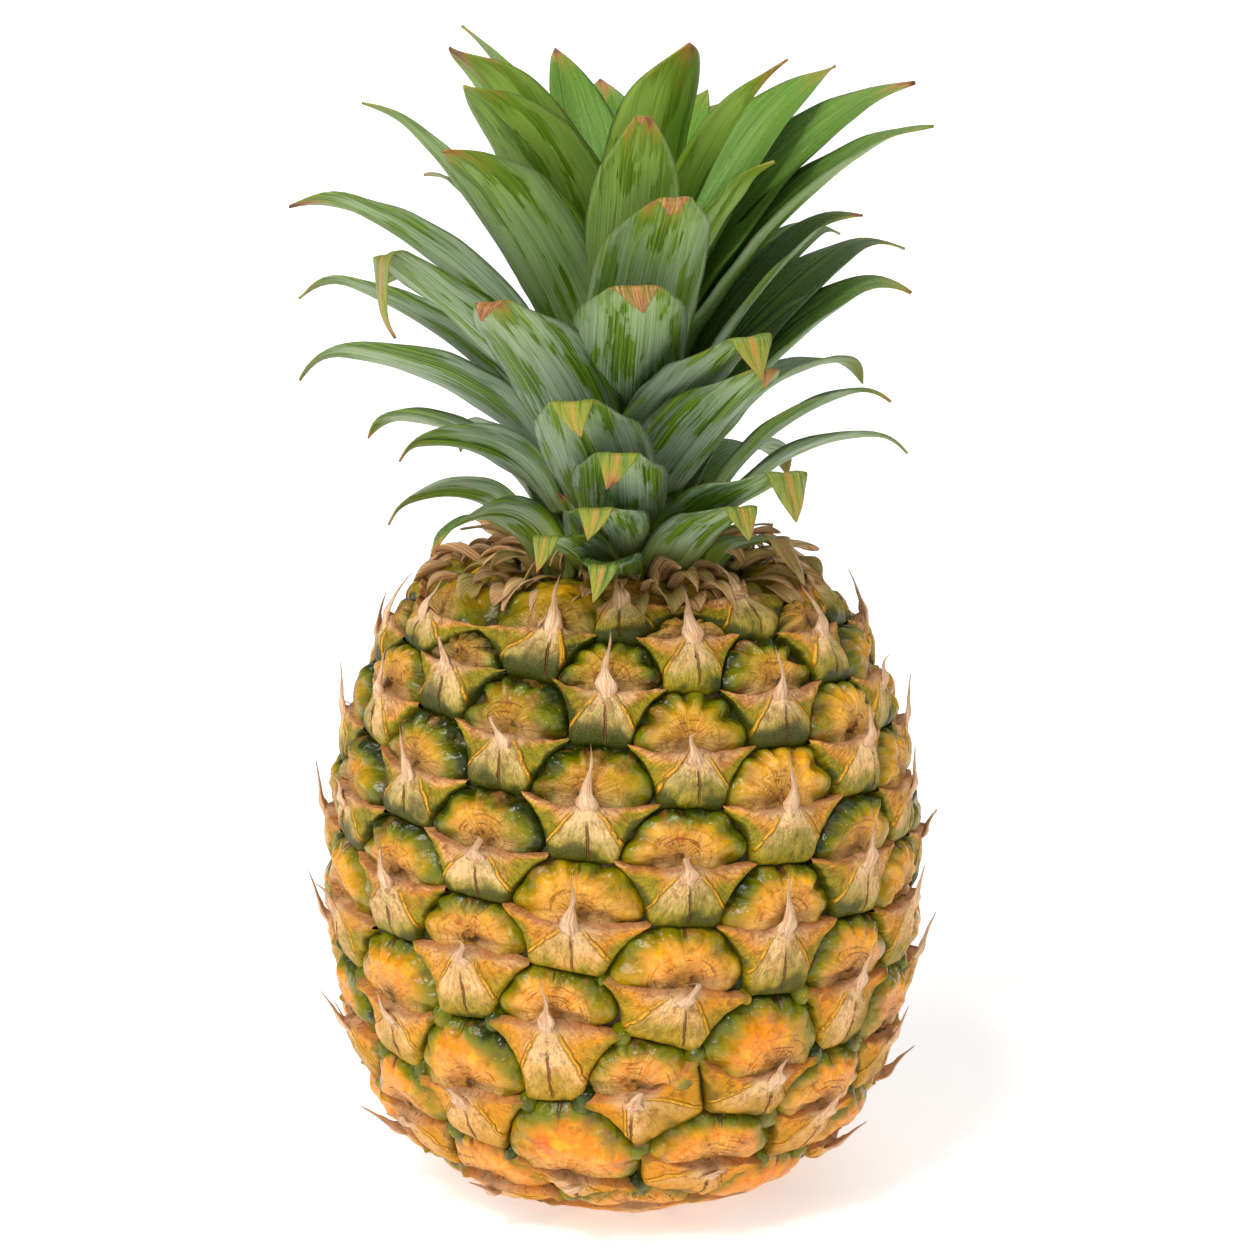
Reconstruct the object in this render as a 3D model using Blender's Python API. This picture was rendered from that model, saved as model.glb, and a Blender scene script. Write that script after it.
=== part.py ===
"""A whole fresh pineapple: one fruit of fused eyes, a cut stalk stub and a leafy crown.

The fruit is a body of revolution whose skin is divided into raised eyes on a spiral lattice,
each with a small spine. The crown is a short tapered stem with separate channelled leaves and
a dried frill at its foot. Metres, +Z up, origin at the middle of the flat underside. Lengths
below are in millimetres and angles in degrees; azimuth 0 faces the front (-Y), 90 faces +X.
"""

import math

import bmesh
import bpy
from mathutils import Vector

MM = 0.001

# Fruit outline: height above the underside and radius over the eyes.
FRUIT_PROFILE = [
    (0.0, 22.0),
    (4.4, 36.5),
    (10.0, 46.0),
    (17.6, 51.7),
    (26.4, 57.6),
    (37.4, 61.6),
    (50.6, 64.0),
    (66.0, 65.4),
    (81.4, 65.0),
    (96.8, 63.5),
    (112.2, 58.5),
    (125.4, 53.0),
    (134.0, 46.5),
    (139.0, 38.0),
    (141.0, 27.0),
    (141.5, 14.0),
]

# Eyes follow one spiral that winds up the fruit; 7, 11 and 18 rows of them show.
EYE_TURN = -99.85
EYE_START = 11.9
EYE_FIRST = -58
EYE_LAST = 48
EYE_HEIGHTS = [
    (-58, 3.0),
    (-54, 7.0),
    (-50, 14.0),
    (-35, 34.0),
    (-18, 62.6),
    (0, 88.2),
    (18, 111.0),
    (35, 131.5),
    (48, 139.5),
]
EYE_UNEVEN = 3.7
EYE_LOWEST = 3.0

# Eyes that grew off the spiral: place on it, turn, lift.
EYE_SHIFTS = {
    -47: (-5.0, 1.0),
    -43: (3.0, -5.0),
    -36: (-5.0, 7.0),
    -29: (2.0, -4.0),
    -25: (-2.0, 6.0),
    -21: (2.0, -2.5),
    -18: (2.0, 0.0),
    -14: (0.0, 3.5),
    14: (4.0, 0.0),
    40: (4.0, 1.5),
}

GROOVE_DEPTH = 3.2
EYE_RIM_DEPTH = 0.9
EYE_CROWN = 0.3
EYE_RIM_SHARE = 0.74
SPINE_RADIUS = 1.7
SPINE_OUT = 5.0
SPINE_UP = 6.2
SPINE_LOWEST = 9.0
SPINE_HIGHEST = 134.0
POLE_MARGIN = 20.0

# Stub of the cut stalk, set in a shallow pocket of the underside.
STUB_RADIUS = 11.5
STUB_DEPTH = 5.0
STUB_TAPER = 0.6
FIT_GAP = 0.4

# Crown stem.
STEM_FOOT = 142.0
STEM_LENGTH = 63.0
STEM_FOOT_RADIUS = 13.0
STEM_TIP_RADIUS = 5.0
STEM_BUD = 9.0

# Frill of dried bracts between the fruit and the crown.
COLLAR_TEETH = 17
COLLAR_LIFT = 0.3
COLLAR_INNER = 14.2
COLLAR_MIDDLE = 24.0
COLLAR_NOTCH = 29.0
COLLAR_TIP = 37.0
COLLAR_DROOP = 1.2
COLLAR_THICK = 1.0

# Leaves from the foot of the crown stem to its tip: azimuth, length, width, extra droop.
LEAVES = [
    (-4, 53, 14, 6),
    (58, 37, 14, 11),
    (-46, 47, 16, -7),
    (178, 52, 17, 0),
    (26, 50, 18, -14),
    (-15, 55, 13, 5),
    (-81, 43, 16, -1),
    (142, 55, 17, 0),
    (93, 56, 14, -18),
    (-5, 57, 19, -1),
    (-143, 57, 17, 0),
    (34, 60, 20, -3),
    (-110, 55, 14, -8),
    (84, 55, 15, -26),
    (-1, 64, 22, -2),
    (160, 64, 19, 0),
    (-75, 43, 17, -1),
    (-9, 68, 26, -7),
    (128, 67, 19, 0),
    (-160, 67, 19, 0),
    (30, 60, 24, -11),
    (-86, 69, 20, 0),
    (-24, 73, 24, -21),
    (84, 68, 21, -22),
    (-94, 75, 19, -10),
    (172, 71, 19, 0),
    (102, 72, 20, -20),
    (-126, 71, 19, -1),
    (25, 66, 24, 9),
    (-165, 75, 18, 0),
    (132, 73, 15, -5),
    (-38, 82, 18, 15),
    (77, 65, 20, -20),
    (-94, 82, 18, 0),
    (2, 74, 26, 13),
    (144, 74, 18, 0),
    (-134, 74, 16, -1),
    (6, 77, 26, 0),
    (-95, 80, 18, -15),
    (77, 84, 22, -1),
    (-36, 77, 20, 0),
    (158, 79, 18, 0),
    (42, 62, 13, -6),
    (-143, 76, 18, 0),
    (101, 84, 20, 6),
    (4, 77, 22, 6),
    (-174, 71, 18, 0),
    (113, 74, 18, 0),
    (-123, 67, 14, -7),
    (-35, 75, 20, 11),
    (52, 69, 17, -2),
    (-159, 68, 15, 1),
    (-61, 68, 20, 0),
    (149, 55, 12, 6),
    (33, 59, 22, -15),
    (-104, 65, 17, 0),
]

# Every leaf leaves the stem a little higher than the one before, and steeper.
LEAF_LOWEST = 3.0
LEAF_CLIMB = 54.0
LEAF_CROWDING = 1.4
LEAF_RISE = [(3, 38), (30, 60), (57, 78)]
LEAF_SPREAD = [(3, -24), (9, -8), (18, 10), (31, 28), (45, 44), (57, 54)]
LEAF_TIP = [(3, -70), (18, -56), (31, -34), (45, 0), (57, 24)]
LEAF_RISE_DROOP = 0.25
LEAF_FOLD = 0.80
LEAF_GAP = 1.0
LEAF_THICK = 1.3
LEAF_THINNING = 0.55
LEAF_STATIONS = 9
LEAF_STEPS = 6
LEAF_FOOT_SHARE = 0.66
LEAF_WIDEST = 0.40
LEAF_CHANNEL = 0.68

# Points around a leaf's section: share of the half width, and outer (-1) or inner (1) face.
LEAF_SECTION = [
    (-1.0, 0),
    (-0.5, -1),
    (0.0, -1),
    (0.5, -1),
    (1.0, 0),
    (0.5, 1),
    (0.0, 1),
    (-0.5, 1),
]

# Colour and roughness of each kind of sub-part.
EYE_PAINT = ((0.55, 0.33, 0.08, 1.0), 0.45)
STALK_PAINT = ((0.45, 0.36, 0.20, 1.0), 0.85)
COLLAR_PAINT = ((0.42, 0.26, 0.13, 1.0), 0.80)
STEM_PAINT = ((0.42, 0.48, 0.28, 1.0), 0.60)
LEAF_PAINT = ((0.11, 0.22, 0.12, 1.0), 0.42)


# ---------------------------------------------------------------- helpers


def clear_scene():
    for item in list(bpy.data.objects):
        bpy.data.objects.remove(item, do_unlink=True)


def make_paint(name, paint):
    colour, roughness = paint
    material = bpy.data.materials.new(name)
    material.use_nodes = True
    shader = material.node_tree.nodes["Principled BSDF"]
    shader.inputs["Base Color"].default_value = colour
    shader.inputs["Roughness"].default_value = roughness
    return material


def add_part(name, shell, material, parent, height=0.0, azimuth=0.0):
    """Turn a closed shell in millimetres into an object on its parent, and free the shell."""
    bmesh.ops.recalc_face_normals(shell, faces=shell.faces)
    for vert in shell.verts:
        vert.co *= MM
    mesh = bpy.data.meshes.new(name)
    shell.to_mesh(mesh)
    shell.free()
    mesh.materials.append(material)
    part = bpy.data.objects.new(name, mesh)
    part.parent = parent
    part.location.z = height * MM
    part.rotation_euler.z = math.radians(azimuth)
    bpy.context.collection.objects.link(part)
    return part


def add_empty(name, height, parent=None):
    empty = bpy.data.objects.new(name, None)
    empty.location.z = height * MM
    empty.parent = parent
    bpy.context.collection.objects.link(empty)
    return empty


def curve_value(points, x):
    """Read a list of (x, y) points as a broken line."""
    if x <= points[0][0]:
        return points[0][1]
    for (x0, y0), (x1, y1) in zip(points, points[1:]):
        if x <= x1:
            return y0 + (y1 - y0) * (x - x0) / (x1 - x0)
    return points[-1][1]


def smooth(x):
    x = min(max(x, 0.0), 1.0)
    return x * x * (3.0 - 2.0 * x)


def around(azimuth, radius, height):
    """Point at an azimuth, a distance from the axis and a height."""
    turn = math.radians(azimuth)
    return Vector((radius * math.sin(turn), -radius * math.cos(turn), height))


def bridge_rings(shell, rings, closed_ends=True):
    """Skin a row of equal closed rings of points into a tube."""
    rows = [[shell.verts.new(point) for point in ring] for ring in rings]
    for low, high in zip(rows, rows[1:]):
        for i in range(len(low)):
            j = (i + 1) % len(low)
            shell.faces.new((low[i], low[j], high[j], high[i]))
    if closed_ends:
        shell.faces.new(list(reversed(rows[0])))
        shell.faces.new(rows[-1])
    return rows


# ---------------------------------------------------------------- fruit


def skin_direction(height):
    """Outward direction of the skin in the (radius, height) plane."""
    low = max(height - 1.5, 0.0)
    high = min(height + 1.5, FRUIT_PROFILE[-1][0])
    across = curve_value(FRUIT_PROFILE, high) - curve_value(FRUIT_PROFILE, low)
    size = math.hypot(across, high - low)
    return (high - low) / size, -across / size


def skin_point(azimuth, height, out):
    """Point a distance outside the fruit outline, never below the underside."""
    outward, upward = skin_direction(height)
    radius = curve_value(FRUIT_PROFILE, height) + outward * out
    return around(azimuth, radius, max(height + upward * out, 0.0))


def outline_walk():
    """Height against the running length of the fruit outline."""
    walk = [(0.0, 0.0)]
    for (z0, r0), (z1, r1) in zip(FRUIT_PROFILE, FRUIT_PROFILE[1:]):
        walk.append((walk[-1][0] + math.hypot(z1 - z0, r1 - r0), z1))
    return walk


def on_ball(azimuth, height, walk):
    """Map a place on the skin to a unit ball, pole to pole."""
    along = curve_value([(z, s) for s, z in walk], height)
    polar = math.pi * (along + POLE_MARGIN) / (walk[-1][0] + 2.0 * POLE_MARGIN)
    return around(azimuth, math.sin(polar), -math.cos(polar))


def from_ball(point, walk):
    """Azimuth and height on the skin of a point of the unit ball."""
    polar = math.acos(max(-1.0, min(1.0, -point.z)))
    along = polar / math.pi * (walk[-1][0] + 2.0 * POLE_MARGIN) - POLE_MARGIN
    return math.degrees(math.atan2(point.x, -point.y)), curve_value(walk, along)


def eye_centres():
    """Azimuth and height of every eye, lowest first."""
    centres = []
    for place in range(EYE_FIRST, EYE_LAST + 1):
        azimuth = EYE_START + EYE_TURN * place
        height = curve_value(EYE_HEIGHTS, place)
        height += EYE_UNEVEN * math.sin(math.radians(azimuth))
        turn, lift = EYE_SHIFTS.get(place, (0.0, 0.0))
        centres.append((azimuth + turn, max(height + lift, EYE_LOWEST)))
    return centres


def eye_cells(centres):
    """Groove corners, and the corners around each eye and around the two poles.

    The hull of the eyes on a ball joins neighbours; each of its triangles gives a corner
    where three grooves meet.
    """
    walk = outline_walk()
    web = bmesh.new()
    for azimuth, height in centres:
        web.verts.new(on_ball(azimuth, height, walk))
    web.verts.new((0.0, 0.0, -1.0))
    web.verts.new((0.0, 0.0, 1.0))
    seeds = list(web.verts)
    bmesh.ops.convex_hull(web, input=web.verts)
    bmesh.ops.triangulate(web, faces=web.faces)
    web.faces.index_update()
    corners = [face.calc_center_median().normalized() for face in web.faces]
    cells = []
    for seed in seeds:
        axis = seed.co.normalized()
        east = axis.orthogonal().normalized()
        north = axis.cross(east)
        ring = [face.index for face in seed.link_faces]
        ring.sort(key=lambda k: math.atan2(corners[k].dot(north), corners[k].dot(east)))
        cells.append(ring)
    web.free()
    return [from_ball(corner, walk) for corner in corners], cells


def lift_face(shell, face, place):
    """Extrude a face on its own and set each new corner with a function of the old one."""
    before = [vert.co.copy() for vert in face.verts]
    top = bmesh.ops.extrude_discrete_faces(shell, faces=[face])["faces"][0]
    for vert, old in zip(top.verts, before):
        vert.co = place(old)
    return top


def raise_eye(shell, face, azimuth, height):
    """Raise one eye above its grooves and pull a spine out of its middle.

    The lowest eyes, worn by standing, and the topmost, under the frill, have no spine.
    """
    top = skin_point(azimuth, height, EYE_CROWN)
    outward, upward = skin_direction(height)
    out = around(azimuth, outward, upward)
    climb = around(azimuth, -upward, outward)

    def rim(old):
        lifted = old + out * (GROOVE_DEPTH - EYE_RIM_DEPTH)
        point = top.lerp(lifted, EYE_RIM_SHARE)
        point.z = max(point.z, 0.0)
        return point

    def foot(old):
        return top + (old - top).normalized() * SPINE_RADIUS

    cap = lift_face(shell, face, rim)
    if not SPINE_LOWEST < height < SPINE_HIGHEST:
        bmesh.ops.poke(shell, faces=[cap])["verts"][0].co = top
        return
    cap = lift_face(shell, cap, foot)
    tip = bmesh.ops.poke(shell, faces=[cap])["verts"][0]
    tip.co = top + out * SPINE_OUT + climb * SPINE_UP


def round_plug(radius, top_radius, low, high):
    """Shell of an upright plug between two heights."""
    shell = bmesh.new()
    bmesh.ops.create_cone(
        shell, cap_ends=True, segments=24, radius1=radius, radius2=top_radius, depth=high - low
    )
    bmesh.ops.translate(shell, verts=shell.verts, vec=(0.0, 0.0, (high + low) / 2.0))
    return shell


def cut_stalk_pocket(fruit, material, parent):
    """Cut the round pocket of the stalk into the flat underside."""
    radius = STUB_RADIUS + FIT_GAP
    plug = round_plug(radius, radius, -STUB_DEPTH, STUB_DEPTH + FIT_GAP)
    cutter = add_part("stalk_pocket_cutter", plug, material, parent)
    cutter.hide_render = True
    cutter.display_type = "WIRE"
    pocket = fruit.modifiers.new("stalk_pocket", "BOOLEAN")
    pocket.operation = "DIFFERENCE"
    pocket.object = cutter


def build_fruit(parent):
    centres = eye_centres()
    corners, cells = eye_cells(centres)
    shell = bmesh.new()
    verts = [shell.verts.new(skin_point(azimuth, height, -GROOVE_DEPTH)) for azimuth, height in corners]
    faces = [shell.faces.new([verts[k] for k in ring]) for ring in cells]
    for face, (azimuth, height) in zip(faces, centres):
        raise_eye(shell, face, azimuth, height)
    for vert in faces[-2].verts:
        vert.co.z = 0.0
    material = make_paint("fruit_skin", EYE_PAINT)
    fruit = add_part("fruit", shell, material, parent)
    cut_stalk_pocket(fruit, material, parent)


# ---------------------------------------------------------------- stalk, crown stem, collar


def build_cut_stem(parent):
    shell = round_plug(STUB_RADIUS, STUB_RADIUS - STUB_TAPER, 0.0, STUB_DEPTH)
    add_part("cut_stem", shell, make_paint("cut_stalk", STALK_PAINT), parent)


def stem_radius(height):
    return STEM_FOOT_RADIUS + (STEM_TIP_RADIUS - STEM_FOOT_RADIUS) * height / STEM_LENGTH


def build_crown_stem(crown):
    """Tapered stem that ends in a pointed growing tip."""
    shell = round_plug(STEM_FOOT_RADIUS, STEM_TIP_RADIUS, 0.0, STEM_LENGTH)
    top = max(shell.faces, key=lambda face: face.calc_center_median().z)
    bud = bmesh.ops.poke(shell, faces=[top])["verts"][0]
    bud.co.z += STEM_BUD
    add_part("crown_stem", shell, make_paint("crown_stem", STEM_PAINT), crown)


def build_collar(crown):
    """Thin toothed frill that lies just above the shoulder of the fruit."""
    sections = []
    for i in range(COLLAR_TEETH * 2):
        azimuth = 180.0 * i / COLLAR_TEETH
        reach = COLLAR_TIP if i % 2 == 0 else COLLAR_NOTCH
        edge = COLLAR_LIFT - COLLAR_DROOP
        ridge = COLLAR_LIFT + 0.3
        sections.append(
            [
                around(azimuth, COLLAR_INNER, COLLAR_LIFT),
                around(azimuth, COLLAR_MIDDLE, ridge),
                around(azimuth, reach, edge),
                around(azimuth, reach, edge + COLLAR_THICK / 2.0),
                around(azimuth, COLLAR_MIDDLE, ridge + COLLAR_THICK),
                around(azimuth, COLLAR_INNER, COLLAR_LIFT + COLLAR_THICK),
            ]
        )
    shell = bmesh.new()
    rows = bridge_rings(shell, sections, closed_ends=False)
    last, first = rows[-1], rows[0]
    for i in range(len(first)):
        j = (i + 1) % len(first)
        shell.faces.new((last[i], last[j], first[j], first[i]))
    add_part("collar_bracts", shell, make_paint("dried_bracts", COLLAR_PAINT), crown)


# ---------------------------------------------------------------- leaves


def leaf_slope(t, height, droop):
    """Slope of the midrib in degrees at a share of the leaf's length."""
    rise = curve_value(LEAF_RISE, height) - droop * LEAF_RISE_DROOP
    spread = curve_value(LEAF_SPREAD, height) - droop
    tip = curve_value(LEAF_TIP, height) - droop
    bend = min(t / LEAF_FOLD, 1.0) ** 1.2
    drop = smooth((t - LEAF_FOLD) / (1.0 - LEAF_FOLD))
    return rise + (spread - rise) * bend + (tip - spread) * drop


def leaf_midrib(height, length, droop):
    """Radius, height and slope in radians of the midrib at each station."""
    steps = (LEAF_STATIONS - 1) * LEAF_STEPS
    radius = stem_radius(height) + LEAF_GAP
    rise = 0.0
    path = [(radius, rise, math.radians(leaf_slope(0.5 / steps, height, droop)))]
    for i in range(steps):
        slope = math.radians(leaf_slope((i + 0.5) / steps, height, droop))
        radius += math.cos(slope) * length / steps
        rise += math.sin(slope) * length / steps
        path.append((radius, rise, slope))
    return path[::LEAF_STEPS]


def leaf_width(t, width):
    """Full width of the blade at a share of its length."""
    if t < LEAF_WIDEST:
        swell = math.sin(math.pi / 2.0 * t / LEAF_WIDEST)
        return width * (LEAF_FOOT_SHARE + (1.0 - LEAF_FOOT_SHARE) * swell)
    taper = ((t - LEAF_WIDEST) / (1.0 - LEAF_WIDEST)) ** 2.2
    return width * (1.0 - 0.96 * taper)


def leaf_section(t, radius, rise, slope, width):
    """Ring of points of the blade's lens-shaped, channelled section."""
    bend = width * LEAF_CHANNEL
    half = leaf_width(t, width) / (2.0 * bend)
    thick = LEAF_THICK * (1.0 - LEAF_THINNING * t) / 2.0
    centre = Vector((0.0, -radius, rise))
    inward = Vector((0.0, math.sin(slope), math.cos(slope)))
    ring = []
    for across, face in LEAF_SECTION:
        turn = across * half
        reach = bend - face * thick
        point = centre + inward * (bend - reach * math.cos(turn))
        point.x = math.sin(turn) * reach
        ring.append(point)
    return ring


def build_leaf(crown, name, height, row, material):
    azimuth, length, width, droop = row
    sections = []
    for k, (radius, rise, slope) in enumerate(leaf_midrib(height, length, droop)):
        sections.append(leaf_section(k / (LEAF_STATIONS - 1), radius, rise, slope, width))
    shell = bmesh.new()
    bridge_rings(shell, sections)
    add_part(name, shell, material, crown, height, azimuth)


def build_leaves(crown):
    material = make_paint("leaf_green", LEAF_PAINT)
    for i, row in enumerate(LEAVES):
        height = LEAF_LOWEST + LEAF_CLIMB * (i / (len(LEAVES) - 1)) ** LEAF_CROWDING
        build_leaf(crown, f"leaf_{i + 1:02d}", height, row, material)


def build_pineapple():
    clear_scene()
    root = add_empty("pineapple", 0.0)
    build_fruit(root)
    build_cut_stem(root)
    crown = add_empty("crown", STEM_FOOT, root)
    build_crown_stem(crown)
    build_collar(crown)
    build_leaves(crown)


build_pineapple()
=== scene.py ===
"""The looks of a whole pineapple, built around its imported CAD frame.

The skin is made eye by eye on the same spiral as the CAD fruit: a lobed cap, a winged bract with
its raised veins, and a papery spike. The crown's blades grow where the CAD leaves do, with finer
sections, folded tips and dried points. Lengths are in millimetres and angles in degrees unless a
name says otherwise; azimuth 0 faces the front (-Y) and 90 faces +X.
"""

import math
import random

import bmesh
import bpy
import numpy as np
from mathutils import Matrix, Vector, noise


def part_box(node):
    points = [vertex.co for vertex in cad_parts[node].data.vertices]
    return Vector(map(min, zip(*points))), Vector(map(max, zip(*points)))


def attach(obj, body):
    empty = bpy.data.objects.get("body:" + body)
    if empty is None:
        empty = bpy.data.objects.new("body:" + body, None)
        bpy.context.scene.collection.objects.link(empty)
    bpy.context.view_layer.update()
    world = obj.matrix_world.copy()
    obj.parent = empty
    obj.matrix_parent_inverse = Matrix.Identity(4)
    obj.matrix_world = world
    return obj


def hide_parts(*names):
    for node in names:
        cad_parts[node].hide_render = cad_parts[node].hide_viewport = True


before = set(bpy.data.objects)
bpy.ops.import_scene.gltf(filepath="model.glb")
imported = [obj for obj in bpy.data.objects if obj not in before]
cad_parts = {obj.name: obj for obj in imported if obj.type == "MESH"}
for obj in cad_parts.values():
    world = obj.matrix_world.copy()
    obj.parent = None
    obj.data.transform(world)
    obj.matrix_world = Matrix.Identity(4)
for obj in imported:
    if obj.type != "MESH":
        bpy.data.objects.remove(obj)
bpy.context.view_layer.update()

BODY = "root"
MM = 0.001
FAR_AWAY = 1e3

# ---------------------------------------------------------------- sizes of the fruit

FRUIT_HEIGHT = 141.5
FRUIT_PROFILE = [
    (0.0, 0.0),
    (0.0, 22.0),
    (4.4, 36.5),
    (10.0, 46.0),
    (17.6, 51.7),
    (26.4, 57.6),
    (37.4, 61.6),
    (50.6, 64.0),
    (66.0, 65.4),
    (81.4, 65.0),
    (96.8, 63.5),
    (112.2, 58.5),
    (125.4, 53.0),
    (134.0, 46.5),
    (139.0, 38.0),
    (141.0, 27.0),
    (141.5, 14.0),
    (141.5, 0.0),
]
PROFILE_STEP = 0.5
PROFILE_SOFTEN = 9
NORMAL_SOFTEN = 11
SIDE_RADIUS = 10.0
LEAST_RADIUS = 9.0

EYE_TURN = -99.85
EYE_START = 11.9
EYE_FIRST = -58
EYE_LAST = 48
EYE_HEIGHTS = [
    (-58, 3.0),
    (-54, 7.0),
    (-50, 14.0),
    (-35, 34.0),
    (-18, 62.6),
    (0, 88.2),
    (18, 111.0),
    (35, 131.5),
    (48, 139.5),
]
EYE_UNEVEN = 3.7
EYE_LOWEST = 3.0
EYE_SHIFTS = {
    -47: (-5.0, 1.0),
    -43: (3.0, -5.0),
    -36: (-5.0, 7.0),
    -29: (2.0, -4.0),
    -25: (-2.0, 6.0),
    -21: (2.0, -2.5),
    -18: (2.0, 0.0),
    -14: (0.0, 3.5),
    14: (4.0, 0.0),
    40: (4.0, 1.5),
}
POLE_MARGIN = 20.0

CELL_BULGE = 0.13
CELL_STEPS = 8
GROOVE_DEPTH = 3.1
GROOVE_HALF_WIDTH = -0.25
BODY_DEPTH = 3.0
BODY_ROWS = 90
BODY_COLUMNS = 120

CAP_SPOKES = 68
CAP_RINGS = 17
CAP_CENTRE_SHARE = 0.43
CAP_TUCK = 1.6
CAP_CROWN = 1.1
CAP_LOBES = (-116.0, -78.0, -39.0, 0.0, 39.0, 78.0, 116.0)
CAP_LOBE_WIDTH = 9.5
CAP_ROUNDING = 8
CAP_SKIRT = 1.2
LOBE_WANDER = 7.0
LOBE_NOTCH = 0.11
VALLEY_DEPTH = 2.9
DIMPLE_UP = 2.4
DIMPLE_DEPTH = 1.3
POCKET_DEPTH = 1.9
NO_FLOOR = -99.0

KNOB_RINGS = 7
KNOB_SPOKES = 18
KNOB_HALF_WIDTH = 3.3
KNOB_HALF_HEIGHT = 3.9
KNOB_HIGHEST = 84.0
KNOB_LEAST = 0.3

BRACT_COLUMNS = 49
BRACT_ROWS = 15
BRACT_CROWN = 0.55
EDGE_POINTS = 101
EDGE_SOFTEN = 7
LIP_THICK = 2.6
KNOT_UP = 3.0
CREASE_DEPTH = 0.55
VEIN_FEET = (0.24, 0.76)
VEIN_STARTS = (-1.2, 1.2)
VEIN_TOP = 0.6
VEIN_RISE = 0.3

SPIKE_STATIONS = 16
SPIKE_POINTS = 8
SPIKE_LOWEST = 9.0
SPIKE_HIGHEST = 139.9
SPIKE_FOOT = 4.2
SPIKE_CUP = 0.175
SPIKE_WIDTHS = [(0, 2.2), (0.14, 2.6), (0.3, 4.8), (0.42, 3), (0.52, 1.7), (0.72, 0.8), (1, 0.1)]
SPIKE_THICKS = [(0, 0.9), (0.3, 1.5), (0.5, 0.7), (1, 0.12)]
CURLED_SPIKES = (18, 0, -18, -14, 22, -32, -47, -43)
TALL_SPIKES = (36, 29, 11, -7, -25, -11, 7)
CURLED_SHARE = 0.22

# ---------------------------------------------------------------- sizes of the crown

STEM_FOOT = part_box("crown_stem")[0].z / MM
STEM_LENGTH = 63.0
STEM_FOOT_RADIUS = 13.0
STEM_TIP_RADIUS = 5.0
STEM_ROWS = 40
STEM_COLUMNS = 24

# Leaves from the foot of the crown stem to its tip: azimuth, length, width, extra droop.
LEAVES = [
    (-4, 53, 14, 6),
    (58, 37, 14, 11),
    (-46, 47, 16, -7),
    (178, 52, 17, 0),
    (26, 50, 18, -14),
    (-15, 55, 13, 5),
    (-81, 43, 16, -1),
    (142, 55, 17, 0),
    (93, 56, 14, -18),
    (-5, 57, 19, -1),
    (-143, 57, 17, 0),
    (34, 60, 20, -3),
    (-110, 55, 14, -8),
    (84, 55, 15, -26),
    (-1, 64, 22, -2),
    (160, 64, 19, 0),
    (-75, 43, 17, -1),
    (-9, 68, 26, -7),
    (128, 67, 19, 0),
    (-160, 67, 19, 0),
    (30, 60, 24, -11),
    (-86, 69, 20, 0),
    (-24, 73, 24, -21),
    (84, 68, 21, -22),
    (-94, 75, 19, -10),
    (172, 71, 19, 0),
    (102, 72, 20, -20),
    (-126, 71, 19, -1),
    (25, 66, 24, 9),
    (-165, 75, 18, 0),
    (132, 73, 15, -5),
    (-38, 82, 18, 15),
    (77, 65, 20, -20),
    (-94, 82, 18, 0),
    (2, 74, 26, 13),
    (144, 74, 18, 0),
    (-134, 74, 16, -1),
    (6, 77, 26, 0),
    (-95, 80, 18, -15),
    (77, 84, 22, -1),
    (-36, 77, 20, 0),
    (158, 79, 18, 0),
    (42, 62, 13, -6),
    (-143, 76, 18, 0),
    (101, 84, 20, 6),
    (4, 77, 22, 6),
    (-174, 71, 18, 0),
    (113, 74, 18, 0),
    (-123, 67, 14, -7),
    (-35, 75, 20, 11),
    (52, 69, 17, -2),
    (-159, 68, 15, 1),
    (-61, 68, 20, 0),
    (149, 55, 12, 6),
    (33, 59, 22, -15),
    (-104, 65, 17, 0),
]
LEAF_LOWEST = 3.0
LEAF_CLIMB = 54.0
LEAF_CROWDING = 1.4
LEAF_RISE = [(3, 38), (30, 60), (57, 78)]
LEAF_SPREAD = [(3, -24), (9, -8), (18, 10), (31, 28), (45, 44), (57, 54)]
LEAF_TIP = [(3, -70), (18, -56), (31, -34), (45, 0), (57, 24)]
LEAF_RISE_DROOP = 0.25
LEAF_FOLD = 0.80
LEAF_GAP = 1.0
LEAF_THICK = 1.3
LEAF_THINNING = 0.6
LEAF_FOOT_SHARE = 0.66
LEAF_WIDEST = 0.40
LEAF_CHANNEL = 0.68
LEAF_ROLL = 0.62
LEAF_WIDENING = 0.25
BLADE_STATIONS = 40
BLADE_POINTS = 13
PATH_STEPS = 6
FLAP_STEPS = 2
NO_FOLD = 2.0

# Rings of dried bracts at the foot of the crown: radius, height, number of bracts, their mean
# length and width, and their slope where they start.
COLLAR_RINGS = [
    (36.5, 139.4, 25, 7.5, 7.6, 8.0),
    (31.0, 140.0, 23, 11.5, 5.6, 38.0),
    (26.0, 141.0, 24, 12.5, 5.4, 45.0),
    (21.0, 141.6, 24, 12.5, 5.6, 47.0),
    (16.5, 142.0, 20, 12.5, 6.0, 47.0),
]
STEM_SCALE_ROWS = 6
STEM_SCALES_IN_ROW = 7
HEART_LEAVES = 13
GOLDEN_ANGLE = 137.5

# Rings of flattened scraps on the underside: radius, height and number of scraps.
BASE_RINGS = [(14.6, 1.0, 16), (12.4, 0.7, 14), (10.8, 0.4, 13)]
SCRAP_THICK = 0.6
SCRAP_FOOT = 0.9

STALK_RINGS = 20
STALK_SPOKES = 72
STALK_WALL_ROWS = 3

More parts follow.
